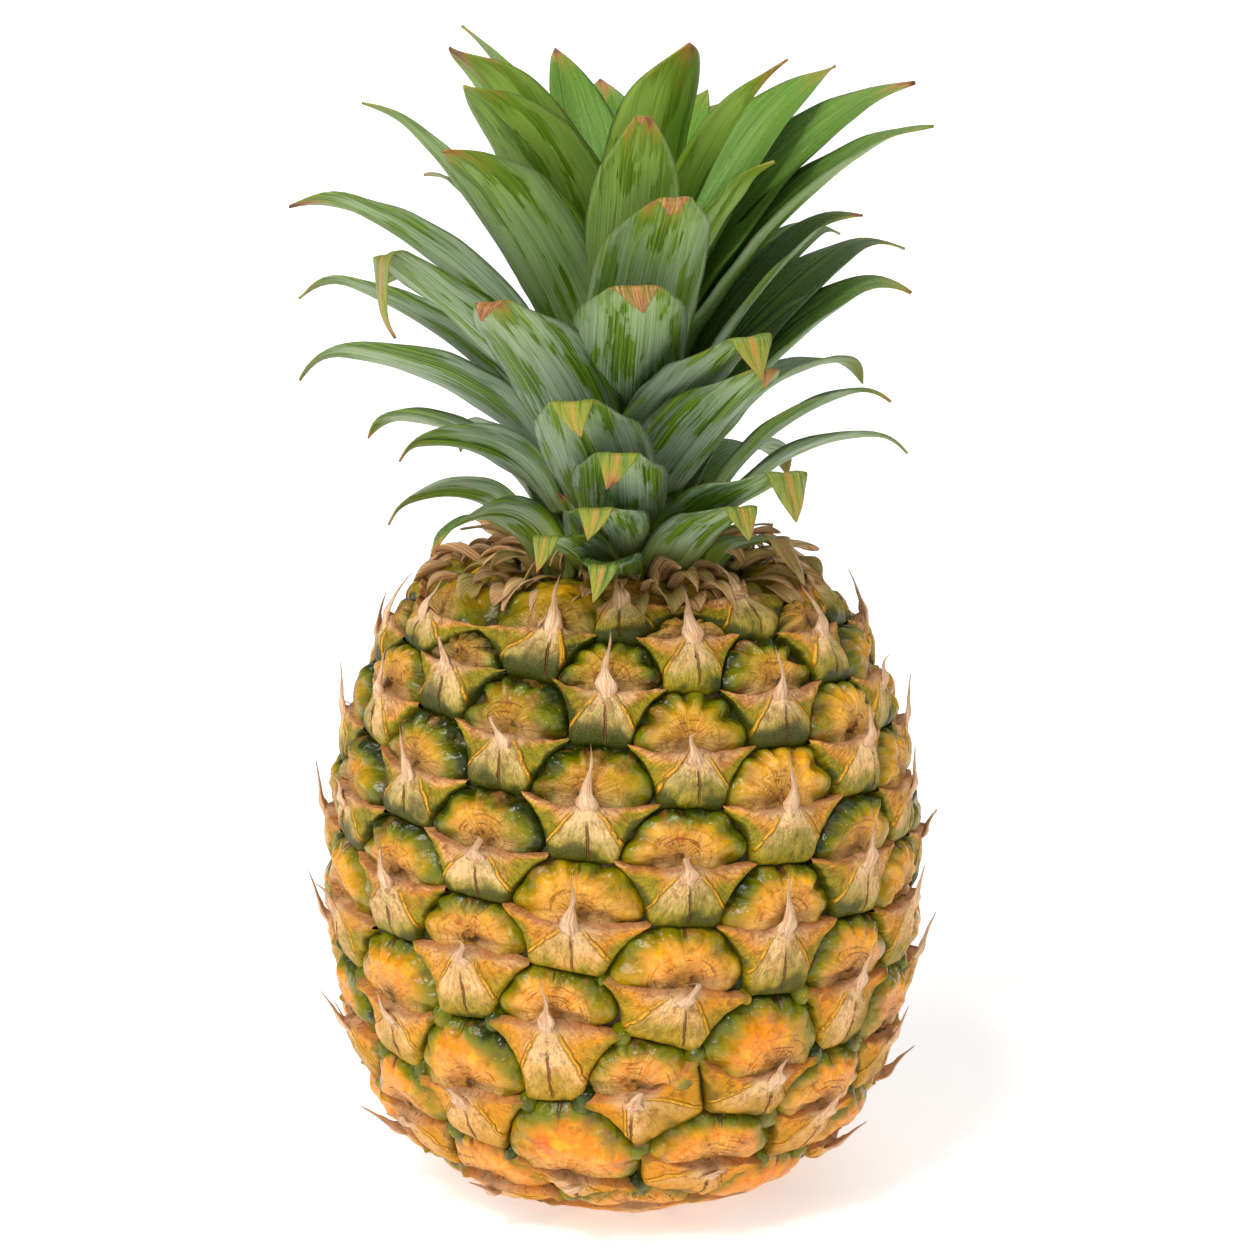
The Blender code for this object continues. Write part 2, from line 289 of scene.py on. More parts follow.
# Leaves bent over near the tip: number, share of the length where they fold, slope at the foot,
# slope at the fold and slope of the folded tip.
HOODS = {
    1: (0.84, 8, 7, -75),
    2: (0.66, 18, 2, -55),
    5: (0.84, 16, 24, -80),
    6: (0.84, 10, 14, -80),
    10: (0.86, 12, 20, -90),
    12: (0.80, 17, 25, -85),
    15: (0.86, 18, 28, -90),
    18: (0.87, 26, 33, -90),
    21: (0.91, 40, 30, -80),
    23: (0.92, 50, 31, -60),
    29: (0.85, 36, 29, -85),
    32: (0.77, 46, 36, -85),
    35: (0.90, 31, 33, -95),
    38: (0.93, 51, 34, -80),
    46: (0.95, 60, 36, -70),
}
DRY_HOODS = (2, 21, 23, 35, 38, 46)
BLUNT_HOODS = (23, 35, 38)
BLUNT_LEAVES = (51, 53, 55)
HOOD_POWER = 2.0
BLUNT_HOOD_POWER = 3.0
BLUNT_LEAF_POWER = 4.2
LEAF_TURNS = {32: -16, 38: 3}
FLAP_CURL = 32.0
FLAP_POWER = 1.25
FLAP_SWAY = 0.22
SHEATH_SHARE = 0.75
SHEATH_OUT = 9.0
SHEATH_DOWN = 7.0
SHEATH_LEAVES = 24

# ---------------------------------------------------------------- stage, light, camera

FLOOR_HALF_WIDTH = 80.0
FLOOR_GLOW = 0.5
ROOM_STRENGTH = 0.27

# Soft suns: name, where each shines from, how wide it looks in degrees, and its power.
SUNS = [
    ("key", (-0.65, -0.65, 0.9), 32.0, 1.5),
    ("sparkle", (-0.35, -0.75, 1.0), 7.0, 0.8),
    ("front", (-0.25, -0.9, 0.2), 60.0, 0.66),
    ("back", (0.1, 0.8, 0.9), 40.0, 0.4),
    ("top", (0.45, -0.15, 1.0), 55.0, 0.6),
]
CAMERA_TARGET = (0.77, 0.0, 126.0)
CAMERA_DISTANCE = 726.0
CAMERA_TILT = 12.0
CAMERA_LENS = 94.74

# Sockets of the mix node when it mixes colours.
MIX_FIRST = 6
MIX_SECOND = 7
MIX_RESULT = 2


# ---------------------------------------------------------------- helpers


def curve_value(points, x):
    """Read a list of (x, y) points as a broken line."""
    return np.interp(x, *zip(*points))


def smooth(x):
    x = np.clip(x, 0.0, 1.0)
    return x * x * (3.0 - 2.0 * x)


def ramp(x, low, high):
    """0 below low, 1 above high, eased between; high may be under low."""
    return smooth((x - low) / (high - low))


def bell(x, width):
    return np.exp(-((x / width) ** 2))


def circle(count):
    """Angles in radians of that many points round a circle."""
    return np.arange(count) * 2.0 * math.pi / count


def side_by_side(*values):
    """Rows made of these arrays, with single numbers repeated."""
    return np.stack(np.broadcast_arrays(*values), axis=-1)


def lumps(size, seed, x, y=0.0):
    """Noise from -1 to 1 at points, with lumps of about that size."""
    offset = Vector((seed * 7.31, seed * 3.17, seed * 5.77))
    points = side_by_side(x, y, 0.0)
    return np.array([noise.noise(Vector(point) / size + offset) for point in points])


def soften(values, width):
    """Moving average that keeps the two ends."""
    pad = width // 2
    longer = np.concatenate([np.full(pad, values[0]), values, np.full(pad, values[-1])])
    return np.convolve(longer, np.ones(width) / width, mode="valid")


class Shell:
    """Points, faces and painted values of one piece while it is built, in millimetres."""

    def __init__(self):
        self.points = []
        self.faces = []
        self.paint = {}
        self.count = 0

    def add(self, points, faces, **paint):
        """Add points, their faces and painted triples, each of arrays or single numbers."""
        self.points.append(points)
        self.faces.extend([tuple(k + self.count for k in face) for face in faces])
        for name, triple in paint.items():
            values = side_by_side(*triple, np.zeros(len(points)))[:, :3]
            self.paint.setdefault(name, []).append(values)
        self.count += len(points)

    def piece(self, name, material, node):
        """Make the object, smooth, riding on the part's body in place of that CAD node."""
        mesh = bpy.data.meshes.new(name)
        mesh.from_pydata(np.concatenate(self.points) * MM, [], self.faces)
        for key, values in self.paint.items():
            layer = mesh.attributes.new(key, "FLOAT_VECTOR", "POINT")
            layer.data.foreach_set("vector", np.concatenate(values).astype(np.float32).ravel())
        mesh.materials.append(material)
        mesh.shade_smooth()
        item = bpy.data.objects.new(name, mesh)
        bpy.context.collection.objects.link(item)
        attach(item, BODY)
        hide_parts(node)


def grid_faces(rows, columns, closed=False):
    """Quads between rows of points; closed joins the last column to the first."""
    faces = []
    for row in range(rows - 1):
        for column in range(columns if closed else columns - 1):
            following = (column + 1) % columns
            a = row * columns
            b = a + columns
            faces.append((a + column, a + following, b + following, b + column))
    return faces


def tube_faces(rings, count):
    """Faces of rings of points joined in a tube, with both of its ends."""
    last = (rings - 1) * count
    ends = [tuple(last + n for n in range(count)), tuple(reversed(range(count)))]
    return grid_faces(rings, count, closed=True) + ends


def dish_points(share, reach, angles):
    """Right, up and share of the way out for rings of points round a hub, which comes last."""
    right = np.append(np.outer(share, reach * np.cos(angles)).ravel(), 0.0)
    up = np.append(np.outer(share, reach * np.sin(angles)).ravel(), 0.0)
    rho = np.append(np.repeat(share, len(angles)), 0.0)
    return right, up, rho


def dish_faces(rings, spokes):
    """Faces of those rings of points, seen from the front."""
    hub = rings * spokes
    faces = [face[::-1] for face in grid_faces(rings, spokes, closed=True)]
    return faces + [(hub, k, (k + 1) % spokes) for k in range(spokes)]


# ---------------------------------------------------------------- skin of the fruit


class Skin:
    """The fruit's outline as running length, radius, height and outward direction."""

    def __init__(self):
        heights = np.array([p[0] for p in FRUIT_PROFILE])
        radii = np.array([p[1] for p in FRUIT_PROFILE])
        walk = np.concatenate([[0.0], np.cumsum(np.hypot(np.diff(heights), np.diff(radii)))])
        fine = np.arange(0.0, walk[-1], PROFILE_STEP)
        self.height = soften(np.interp(fine, walk, heights), PROFILE_SOFTEN)
        self.radius = soften(np.interp(fine, walk, radii), PROFILE_SOFTEN)
        steps = np.hypot(np.diff(self.height), np.diff(self.radius))
        self.along = np.concatenate([[0.0], np.cumsum(steps)])
        rise = np.gradient(self.height, self.along)
        spread = np.gradient(self.radius, self.along)
        size = np.hypot(rise, spread)
        self.outward = soften(rise / size, NORMAL_SOFTEN)
        self.upward = soften(-spread / size, NORMAL_SOFTEN)
        self.total = float(self.along[-1])

    def at_height(self, height):
        """Running length at a height of the side."""
        side = self.radius > SIDE_RADIUS
        return float(np.interp(height, self.height[side], self.along[side]))

    def radius_at(self, along):
        return np.interp(along, self.along, self.radius)

    def place(self, azimuth, along, out):
        """Points at azimuths in radians, running lengths and distances outside the skin."""
        radius = self.radius_at(along) + np.interp(along, self.along, self.outward) * out
        height = np.interp(along, self.along, self.height)
        height = height + np.interp(along, self.along, self.upward) * out
        radius = np.maximum(radius, 0.0)
        height = np.maximum(height, 0.0)
        return side_by_side(radius * np.sin(azimuth), -radius * np.cos(azimuth), height)


class Eye:
    """One eye: its place on the spiral, its middle on the skin and the corners of its cell."""

    def __init__(self, skin, place):
        azimuth = EYE_START + EYE_TURN * place
        height = curve_value(EYE_HEIGHTS, place)
        height += EYE_UNEVEN * math.sin(math.radians(azimuth))
        turn, lift = EYE_SHIFTS.get(place, (0.0, 0.0))
        self.skin = skin
        self.index = place
        self.height = max(height + lift, EYE_LOWEST)
        self.azimuth = math.radians(azimuth + turn)
        self.along = skin.at_height(self.height)
        self.seed = place - EYE_FIRST + 1
        self.luck = random.Random(900 + self.seed)
        self.tone = self.luck.random()
        self.ripe = 1.0 - self.height / FRUIT_HEIGHT
        self.corners = None
        vary = random.Random(300 + self.seed)
        self.skew = vary.uniform(-1.5, 1.5)
        self.swell = vary.uniform(-0.35, 0.45)
        self.lip_power = vary.uniform(1.5, 2.4)
        self.lobe_depths = [vary.uniform(0.45, 1.25) for _ in CAP_LOBES]

    def on_ball(self):
        """The eye's place when the skin is wrapped on a ball of radius 1."""
        polar = math.pi * (self.along + POLE_MARGIN) / (self.skin.total + 2.0 * POLE_MARGIN)
        flat = math.sin(polar)
        return Vector(
            (flat * math.sin(self.azimuth), -flat * math.cos(self.azimuth), -math.cos(polar))
        )

    def local(self, azimuth, along):
        """Right and up distances of a point of the skin from the eye's middle."""
        turn = (azimuth - self.azimuth + math.pi) % (2.0 * math.pi) - math.pi
        return turn * max(self.skin.radius_at(along), LEAST_RADIUS), along - self.along

    def place(self, right, up, out):
        """Points of the fruit from distances right of, up from and out of the eye's middle."""
        along = np.clip(self.along + up, 0.0, self.skin.total)
        radius = np.maximum(self.skin.radius_at(along), LEAST_RADIUS)
        return self.skin.place(self.azimuth + right / radius, along, out)


def cell_corners(skin, eyes):
    """Give each eye the corners where three grooves meet around it, in its own distances.

    The hull of the eyes on a ball joins neighbours; each of its triangles gives a corner.
    """
    web = bmesh.new()
    for eye in eyes:
        web.verts.new(eye.on_ball())
    web.verts.new((0.0, 0.0, -1.0))
    web.verts.new((0.0, 0.0, 1.0))
    seeds = list(web.verts)
    bmesh.ops.convex_hull(web, input=web.verts)
    bmesh.ops.triangulate(web, faces=web.faces)
    for eye, seed in zip(eyes, seeds):
        corners = []
        for face in seed.link_faces:
            point = face.calc_center_median().normalized()
            polar = math.acos(max(-1.0, min(1.0, -point.z)))
            along = polar / math.pi * (skin.total + 2.0 * POLE_MARGIN) - POLE_MARGIN
            along = min(max(along, 0.0), skin.total)
            corners.append(eye.local(math.atan2(point.x, -point.y), along))
        corners.sort(key=lambda p: math.atan2(p[1], p[0]))
        eye.corners = np.array(corners)
    web.free()


def make_eyes(skin):
    eyes = [Eye(skin, place) for place in range(EYE_FIRST, EYE_LAST + 1)]
    cell_corners(skin, eyes)
    return eyes


# ---------------------------------------------------------------- caps of the eyes


def cell_reach(corners, centre, angles, floor):
    """Distance from a centre to the cell's edge, or to a level line below, at each angle."""
    reach = np.full(len(angles), FAR_AWAY)
    direction = np.stack([np.cos(angles), np.sin(angles)], axis=-1)
    edges = zip(corners, np.roll(corners, -1, axis=0))
    planes = [(p, np.array([q[1] - p[1], p[0] - q[0]])) for p, q in edges]
    planes.append((np.array([0.0, floor]), np.array([0.0, -1.0])))
    for point, normal in planes:
        normal = normal / max(np.hypot(*normal), 1e-6)
        gap = float(np.dot(point - centre, normal))
        towards = direction @ normal
        hit = np.where(towards > 1e-3, gap / np.maximum(towards, 1e-3), FAR_AWAY)
        reach = np.minimum(reach, np.maximum(hit, 0.5))
    return reach


def bulged_edges(corners, above, bulge=CELL_BULGE):
    """Corners with points added so that the slanting edges above, or below, bow upwards."""
    points = []
    for p, q in zip(corners, np.roll(corners, -1, axis=0)):
        edge = q - p
        length = max(np.hypot(*edge), 1e-6)
        outward = np.array([edge[1], -edge[0]]) / length
        middle = (p + q)[1] / 2.0
        bow = bulge * length * abs(outward[0]) * min(abs(middle) / 4.0, 1.0)
        if above and middle < 0.0:
            bow = 0.0
        if not above:
            bow = -bow if middle < 0.0 else 0.0
        for k in range(CELL_STEPS):
            share = k / CELL_STEPS
            points.append(p + edge * share + outward * bow * 4.0 * share * (1.0 - share))
    return np.array(points)


def round_off(reach, passes):
    for _ in range(passes):
        reach = 0.25 * np.roll(reach, 1) + 0.5 * reach + 0.25 * np.roll(reach, -1)
    return reach


def cap_outline(eye):
    """Centre, top, spoke angles and reach of a cap, with the notches between its lobes."""
    top = cell_reach(eye.corners, np.zeros(2), np.array([math.pi / 2.0]), NO_FLOOR)[0]
    centre = np.array([0.0, CAP_CENTRE_SHARE * top])
    angles = circle(CAP_SPOKES)
    reach = cell_reach(bulged_edges(eye.corners, True), centre, angles, -CAP_TUCK)
    reach = round_off(reach, CAP_ROUNDING) - GROOVE_HALF_WIDTH
    lobed = 1.0 - 0.75 * eye.ripe
    turn = (np.degrees(angles) - 90.0 + 180.0) % 360.0 - 180.0
    turn = turn + LOBE_WANDER * lumps(0.8, eye.seed, angles)
    notch = np.zeros(CAP_SPOKES)
    for lobe, depth in zip(CAP_LOBES, eye.lobe_depths):
        cut = bell(turn - lobe - eye.luck.uniform(-5, 5), CAP_LOBE_WIDTH)
        notch = np.maximum(notch, depth * cut)
    reach = reach * (1.0 - LOBE_NOTCH * lobed * notch)
    return centre, top, angles, reach, notch * lobed


def cap_relief(eye, right, up, rho, valley):
    """How far a cap stands out, with the distance from its dimple and the share of a pocket."""
    dome = (1.0 - np.clip(rho, 0.0, 1.0) ** 3.4) ** 0.55
    out = -GROOVE_DEPTH + (GROOVE_DEPTH + CAP_CROWN + eye.swell) * dome
    out -= VALLEY_DEPTH * valley * ramp(rho, 0.25, 0.9) * dome ** 0.5
    out += (1.4 - 0.6 * eye.ripe) * lumps(4.6, eye.seed, right, up) * dome
    out += 0.35 * lumps(2.0, eye.seed + 300, right, up) * dome
    out -= 1.2 * ramp(eye.height, 12.0, 4.0) * dome
    dimple = np.hypot((right - eye.skew) / 1.25, up - DIMPLE_UP)
    out -= DIMPLE_DEPTH * bell(dimple, 3.4)
    side = np.abs(right)
    pocket = ramp(up, 3.9, 1.4) * ramp(side, 0.6, 2.4) * ramp(side, 9.5, 6.0)
    pocket = pocket * np.clip(1.0 + 0.5 * eye.skew * np.sign(right), 0.25, 1.0)
    out -= POCKET_DEPTH * pocket * dome
    return out, dimple, pocket


def build_cap(shell, eye):
    centre, top, angles, reach, notch = cap_outline(eye)
    share = np.append(np.linspace(0.0, 1.0, CAP_RINGS + 1)[1:] ** 0.8, 1.0)
    right, up, rho = dish_points(share, reach, angles)
    up = up + centre[1]
    valley = np.append(np.tile(notch, len(share)), 0.0)
    out, dimple, pocket = cap_relief(eye, right, up, rho, valley)
    out[CAP_RINGS * CAP_SPOKES : -1] = -GROOVE_DEPTH - CAP_SKIRT
    shell.add(
        eye.place(right, up, out),
        dish_faces(CAP_RINGS + 1, CAP_SPOKES),
        place=(right - eye.skew, up, rho * 10.0),
        tone=(eye.tone, eye.ripe, pocket),
        rim=(up - top, dimple, valley),
    )


# ---------------------------------------------------------------- bracts of the eyes


def wing_tip(corners, side):
    """The corner nearest to level on one side, or the level point of the cell's edge."""
    want = math.radians(4.0 if side > 0 else 176.0)
    angle = np.arctan2(corners[:, 1], corners[:, 0])
    gap = np.abs((angle - want + math.pi) % (2.0 * math.pi) - math.pi)
    k = int(np.argmin(gap))
    if gap[k] < math.radians(30.0):
        return corners[k]
    reach = cell_reach(corners, np.zeros(2), np.array([want]), NO_FLOOR)[0]
    return np.array([reach * math.cos(want), reach * math.sin(want)])


def lower_edge(corners, left, right, bulge):
    """Rounded path from the left wing tip round the bottom of the cell to the right one."""
    start = math.atan2(left[1], left[0]) % (2.0 * math.pi)
    stop = math.atan2(right[1], right[0]) % (2.0 * math.pi)
    if stop < math.pi:
        stop += 2.0 * math.pi
    between = []
    for corner in bulged_edges(corners, False, bulge):
        angle = math.atan2(corner[1], corner[0]) % (2.0 * math.pi)
        if start + 0.04 < angle < stop - 0.04:
            between.append((angle, corner))
    between.sort(key=lambda pair: pair[0])
    path = np.array([left] + [corner for _, corner in between] + [right])
    walk = np.concatenate([[0.0], np.cumsum(np.hypot(*np.diff(path, axis=0).T))])
    fine = np.linspace(0.0, walk[-1], EDGE_POINTS)
    right_of = soften(np.interp(fine, walk, path[:, 0]), EDGE_SOFTEN)
    up_of = soften(np.interp(fine, walk, path[:, 1]), EDGE_SOFTEN)
    return right_of, up_of


def bract_outline(eye, across):
    """The lip, the lower edge and the feet of the two veins, each as right and up distances."""
    left = wing_tip(eye.corners, -1)
    right = wing_tip(eye.corners, 1)
    bulge = CELL_BULGE * float(ramp(eye.height, 10.0, 24.0))
    low_right, low_up = lower_edge(eye.corners, left, right, bulge)
    tip = np.where(across < 0.0, -left[0], right[0]) + 0.5
    rise = np.where(across < 0.0, left[1], right[1]) + 1.2
    lip_right = across * tip
    lip_up = rise * np.abs(across) ** eye.lip_power - 0.5 + 0.9 * bell(lip_right, 2.4)
    lip_up = lip_up + 0.5 * lumps(2.8, eye.seed, lip_right)
    share = np.linspace(0.0, 1.0, EDGE_POINTS)
    edge_right = np.interp((across + 1.0) / 2.0, share, low_right)
    edge_up = np.interp((across + 1.0) / 2.0, share, low_up) + 4.0
    inset = 1.0 - GROOVE_HALF_WIDTH / np.maximum(np.hypot(edge_right, edge_up), 3.0)
    feet = [(np.interp(s, share, low_right), np.interp(s, share, low_up)) for s in VEIN_FEET]
    return lip_right, lip_up, edge_right * inset, edge_up * inset - 4.0, feet


def vein_distance(foot, start, right, up):
    """Distance of points to the right of a vein from its start beside the knot to its foot."""
    line = np.array(foot) - np.array([start, VEIN_TOP])
    line = line / np.hypot(*line)
    return (right - start) * line[1] - (up - VEIN_TOP) * line[0]


def bract_relief(eye, right, up, across, down, veins):
    """How far a bract stands out: its fan, veins, middle crease, folds and knobs."""
    depth = np.abs(across)
    fan = ramp(np.minimum(-veins[0], veins[1]), -0.8, 1.2)
    spoke = np.arctan2(right, KNOT_UP - up)
    from_knot = np.hypot(right, KNOT_UP - up)
    crease = bell(right + 0.3 * np.sin(up + eye.seed), 0.4)
    crown = BRACT_CROWN - 1.15 * depth ** 2.6
    crown += 1.0 * bell(right, 1.7 + 1.6 * down) * (1.0 - 0.6 * down)
    crown += 0.35 * fan * ramp(down, 0.95, 0.5)
    crown -= 0.7 * np.sin(math.pi * down) * bell(depth - 0.55, 0.26)
    for vein in veins:
        crown += VEIN_RISE * bell(vein, 0.5) * ramp(down, 1.0, 0.75)
    crown -= CREASE_DEPTH * crease * ramp(down, 0.12, 0.4)
    crown += 0.35 * np.sin(spoke * 8.0 + eye.seed) * bell(from_knot - 3.0, 2.6)
    crown += 0.10 * np.sin(spoke * 26.0 + eye.seed) * ramp(down, 0.0, 0.2)
    crown += 0.55 * lumps(3.6, eye.seed + 600, right, up)
    crown += 0.16 * lumps(1.3, eye.seed + 700, right, up)
    crown += 0.18 * ramp(down, 0.08, 0.0)
    crown += 1.5 * bell(depth - 0.86, 0.1) * bell(down - 0.35, 0.3) * ramp(eye.ripe, 0.3, 0.6)
    crown *= 0.15 + 0.85 * ramp(eye.height, 4.0, 14.0)
    return -GROOVE_DEPTH + (GROOVE_DEPTH + crown) * (1.0 - down ** 4.5) ** 0.5


def build_bract(shell, eye):
    s = np.linspace(-1.0, 1.0, BRACT_COLUMNS)
    lip_right, lip_up, edge_right, edge_up, feet = bract_outline(eye, s)
    t = np.linspace(0.0, 1.0, BRACT_ROWS) ** 0.9
    across = np.tile(s, BRACT_ROWS)
    down = np.repeat(t, BRACT_COLUMNS)
    right = np.tile(lip_right, BRACT_ROWS) * (1 - down) + np.tile(edge_right, BRACT_ROWS) * down
    up = np.tile(lip_up, BRACT_ROWS) * (1 - down) + np.tile(edge_up, BRACT_ROWS) * down
    veins = [vein_distance(foot, start, right, up) for foot, start in zip(feet, VEIN_STARTS)]
    out = bract_relief(eye, right, up, across, down, veins)

    lip_out = out[:BRACT_COLUMNS]
    right = np.concatenate([lip_right * 0.97, lip_right, right])
    up = np.concatenate([lip_up + 0.5, lip_up + 0.16, up])
    out = np.concatenate([lip_out - LIP_THICK, lip_out - 0.28, out])
    lip = np.ones(2 * BRACT_COLUMNS)
    edge = np.concatenate([lip, ramp(down, 0.05, 0.0)])
    down = np.concatenate([lip * 0.0, down])
    veins = [np.concatenate([lip * 9.0, vein]) for vein in veins]
    rows = BRACT_ROWS + 2
    shell.add(
        eye.place(right, up, out),
        [face[::-1] for face in grid_faces(rows, BRACT_COLUMNS)],
        place=(right, up, down * 10.0),
        tone=(eye.tone, eye.ripe, edge),
        rim=(*veins, np.tile(s, rows)),
    )


def build_knob(shell, eye, corner, seed):
    """Glossy green bump where a wing tip meets the neighbouring eyes."""
    size = random.Random(seed).uniform(0.65, 1.05) * float(ramp(eye.height, KNOB_HIGHEST, 45.0))
    if size < KNOB_LEAST:
        return
    share = np.linspace(0.0, 1.0, KNOB_RINGS + 1)[1:]
    right, up, rho = dish_points(share, 1.0, circle(KNOB_SPOKES))
    right = right * KNOB_HALF_WIDTH * size
    up = up * KNOB_HALF_HEIGHT * size
    out = (1.0 - rho ** 2.6) ** 0.6 * (GROOVE_DEPTH + 0.1) - GROOVE_DEPTH
    out = out + 0.5 * lumps(2.4, seed, right, up) * (1.0 - rho)
    shell.add(
        eye.place(corner[0] + right, corner[1] + up, out),
        dish_faces(KNOB_RINGS, KNOB_SPOKES),
        place=(20.0, 20.0, 7.0 + 1.4 * rho),
        tone=(eye.tone, 0.35, 0.0),
        rim=(0.0, 20.0, 0.0),
    )


# ---------------------------------------------------------------- spikes of the eyes


def spike_kind(eye):
    """Height above the eye, lean to the side, lean outward and curl of a spike."""
    luck = eye.luck
    if eye.index in CURLED_SPIKES:
        return luck.uniform(3.0, 4.5), luck.uniform(-1.0, 1.0), 1.0, luck.choice((-1.0, 1.0))
    if eye.index in TALL_SPIKES:
        return luck.uniform(10.5, 12.5), luck.uniform(-0.8, 0.8), 2.2, 0.0
    if luck.random() < CURLED_SHARE:
        return luck.uniform(3.5, 5.5), luck.uniform(-1.5, 1.5), 1.2, luck.choice((-1.0, 1.0))
    return luck.uniform(7.0, 10.5), luck.uniform(-1.8, 1.8), luck.uniform(1.5, 4.0), 0.0


def build_spike(shell, eye):
    tall, lean, outward, curl = spike_kind(eye)
    q = np.linspace(0.0, 1.0, SPIKE_STATIONS)
    right = lean * q ** 2 + 0.35 * np.sin(q * 9.0 + eye.seed)
    up = -SPIKE_FOOT + (tall + SPIKE_FOOT) * q
    out = 0.7 + 1.7 * smooth(q / 0.42) + outward * q ** 2
    if curl:
        turn = smooth((q - 0.4) / 0.6) * 4.2
        right = right + curl * 1.7 * np.sin(turn)
        up = np.minimum(up, 1.4) + 1.9 * np.sin(turn * 0.5)
        out = out + 0.9 * (1.0 - np.cos(turn))
    width = curve_value(SPIKE_WIDTHS, q) * (1.0 + 0.15 * np.sin(q * 23.0 + eye.seed * 2.0))
    thick = curve_value(SPIKE_THICKS, q)
    twist = eye.luck.uniform(-0.6, 0.6) * q * 2.0

    station = np.repeat(np.arange(SPIKE_STATIONS), SPIKE_POINTS)
    angle = np.tile(circle(SPIKE_POINTS), SPIKE_STATIONS)
    wide, turn = width[station], twist[station]
    a = np.cos(angle) * wide / 2.0
    b = np.sin(angle) * thick[station] / 2.0 - SPIKE_CUP * wide * np.cos(angle) ** 2
    shell.add(
        eye.place(
            right[station] + a * np.cos(turn) - b * np.sin(turn),
            up[station],
            out[station] + a * np.sin(turn) + b * np.cos(turn),
        ),
        [face[::-1] for face in tube_faces(SPIKE_STATIONS, SPIKE_POINTS)],
        place=(np.cos(angle), q[station], 0.0),
        tone=(eye.tone, 0.0, 0.0),
    )


def build_body(shell, skin):
    """The flesh seen in the grooves, a little below the eyes."""
    along = np.repeat(np.linspace(0.0, skin.total, BODY_ROWS), BODY_COLUMNS)
    azimuth = np.tile(circle(BODY_COLUMNS), BODY_ROWS)
    points = skin.place(azimuth, along, -BODY_DEPTH)
    shell.add(points, grid_faces(BODY_ROWS, BODY_COLUMNS, closed=True))


# ---------------------------------------------------------------- blades of the crown


def leaf_slope(t, height, droop, number):
    """Slope of the midrib in degrees at each share of the leaf's length."""
    if number in HOODS:
        fold, foot, top, tip = HOODS[number]
        slope = foot + (top - foot) * np.minimum(t / fold, 1.0)
        curl = FLAP_CURL * smooth(((t - fold) / (1.0 - fold) - 0.55) / 0.45)
        return slope + (tip - top) * smooth((t - fold) / 0.05) - curl
    rise = curve_value(LEAF_RISE, height) - droop * LEAF_RISE_DROOP
    spread = curve_value(LEAF_SPREAD, height) - droop
    tip = curve_value(LEAF_TIP, height) - droop
    bend = np.minimum(t / LEAF_FOLD, 1.0) ** 1.2
    drop = smooth((t - LEAF_FOLD) / (1.0 - LEAF_FOLD))
    straight = 0.5 * ramp(height, 15.0, 40.0)
    return rise + (spread - rise) * bend + (tip - spread) * (1.0 - straight) * drop


def leaf_width(t, foot, power):
    """Width of the blade at each share of its length, as a share of its widest."""
    swell = foot + (1.0 - foot) * np.sin(math.pi / 2.0 * np.minimum(t / LEAF_WIDEST, 1.0))
    taper = np.clip((t - LEAF_WIDEST) / (1.0 - LEAF_WIDEST), 0.0, 1.0) ** power
    return np.where(t < LEAF_WIDEST, swell, 1.0 - 0.985 * taper)


def stem_radius(rise):
    return STEM_FOOT_RADIUS + (STEM_TIP_RADIUS - STEM_FOOT_RADIUS) * rise / STEM_LENGTH


def blade_path(radius, height, length, slopes, stations, fold, sheath):
    """Share of the length, reach, height and slope at each station; closer past the fold."""
    fine = stations * PATH_STEPS
    slope = np.radians(slopes((np.arange(fine) + 0.5) / fine))
    reach = radius + np.concatenate([[0.0], np.cumsum(np.cos(slope))]) * length / fine
    climb = height + np.concatenate([[0.0], np.cumsum(np.sin(slope))]) * length / fine
    slope = np.append(slope, slope[-1])
    crease = min(int(fold * stations), stations) * PATH_STEPS
    pick = np.append(np.arange(0, crease, PATH_STEPS), np.arange(crease, fine + 1, FLAP_STEPS))
    t = pick / fine
    sheath = sheath * np.clip(1.0 - t / SHEATH_SHARE, 0.0, 1.0) ** 2
    return t, reach[pick] + SHEATH_OUT * sheath, climb[pick] - SHEATH_DOWN * sheath, slope[pick]


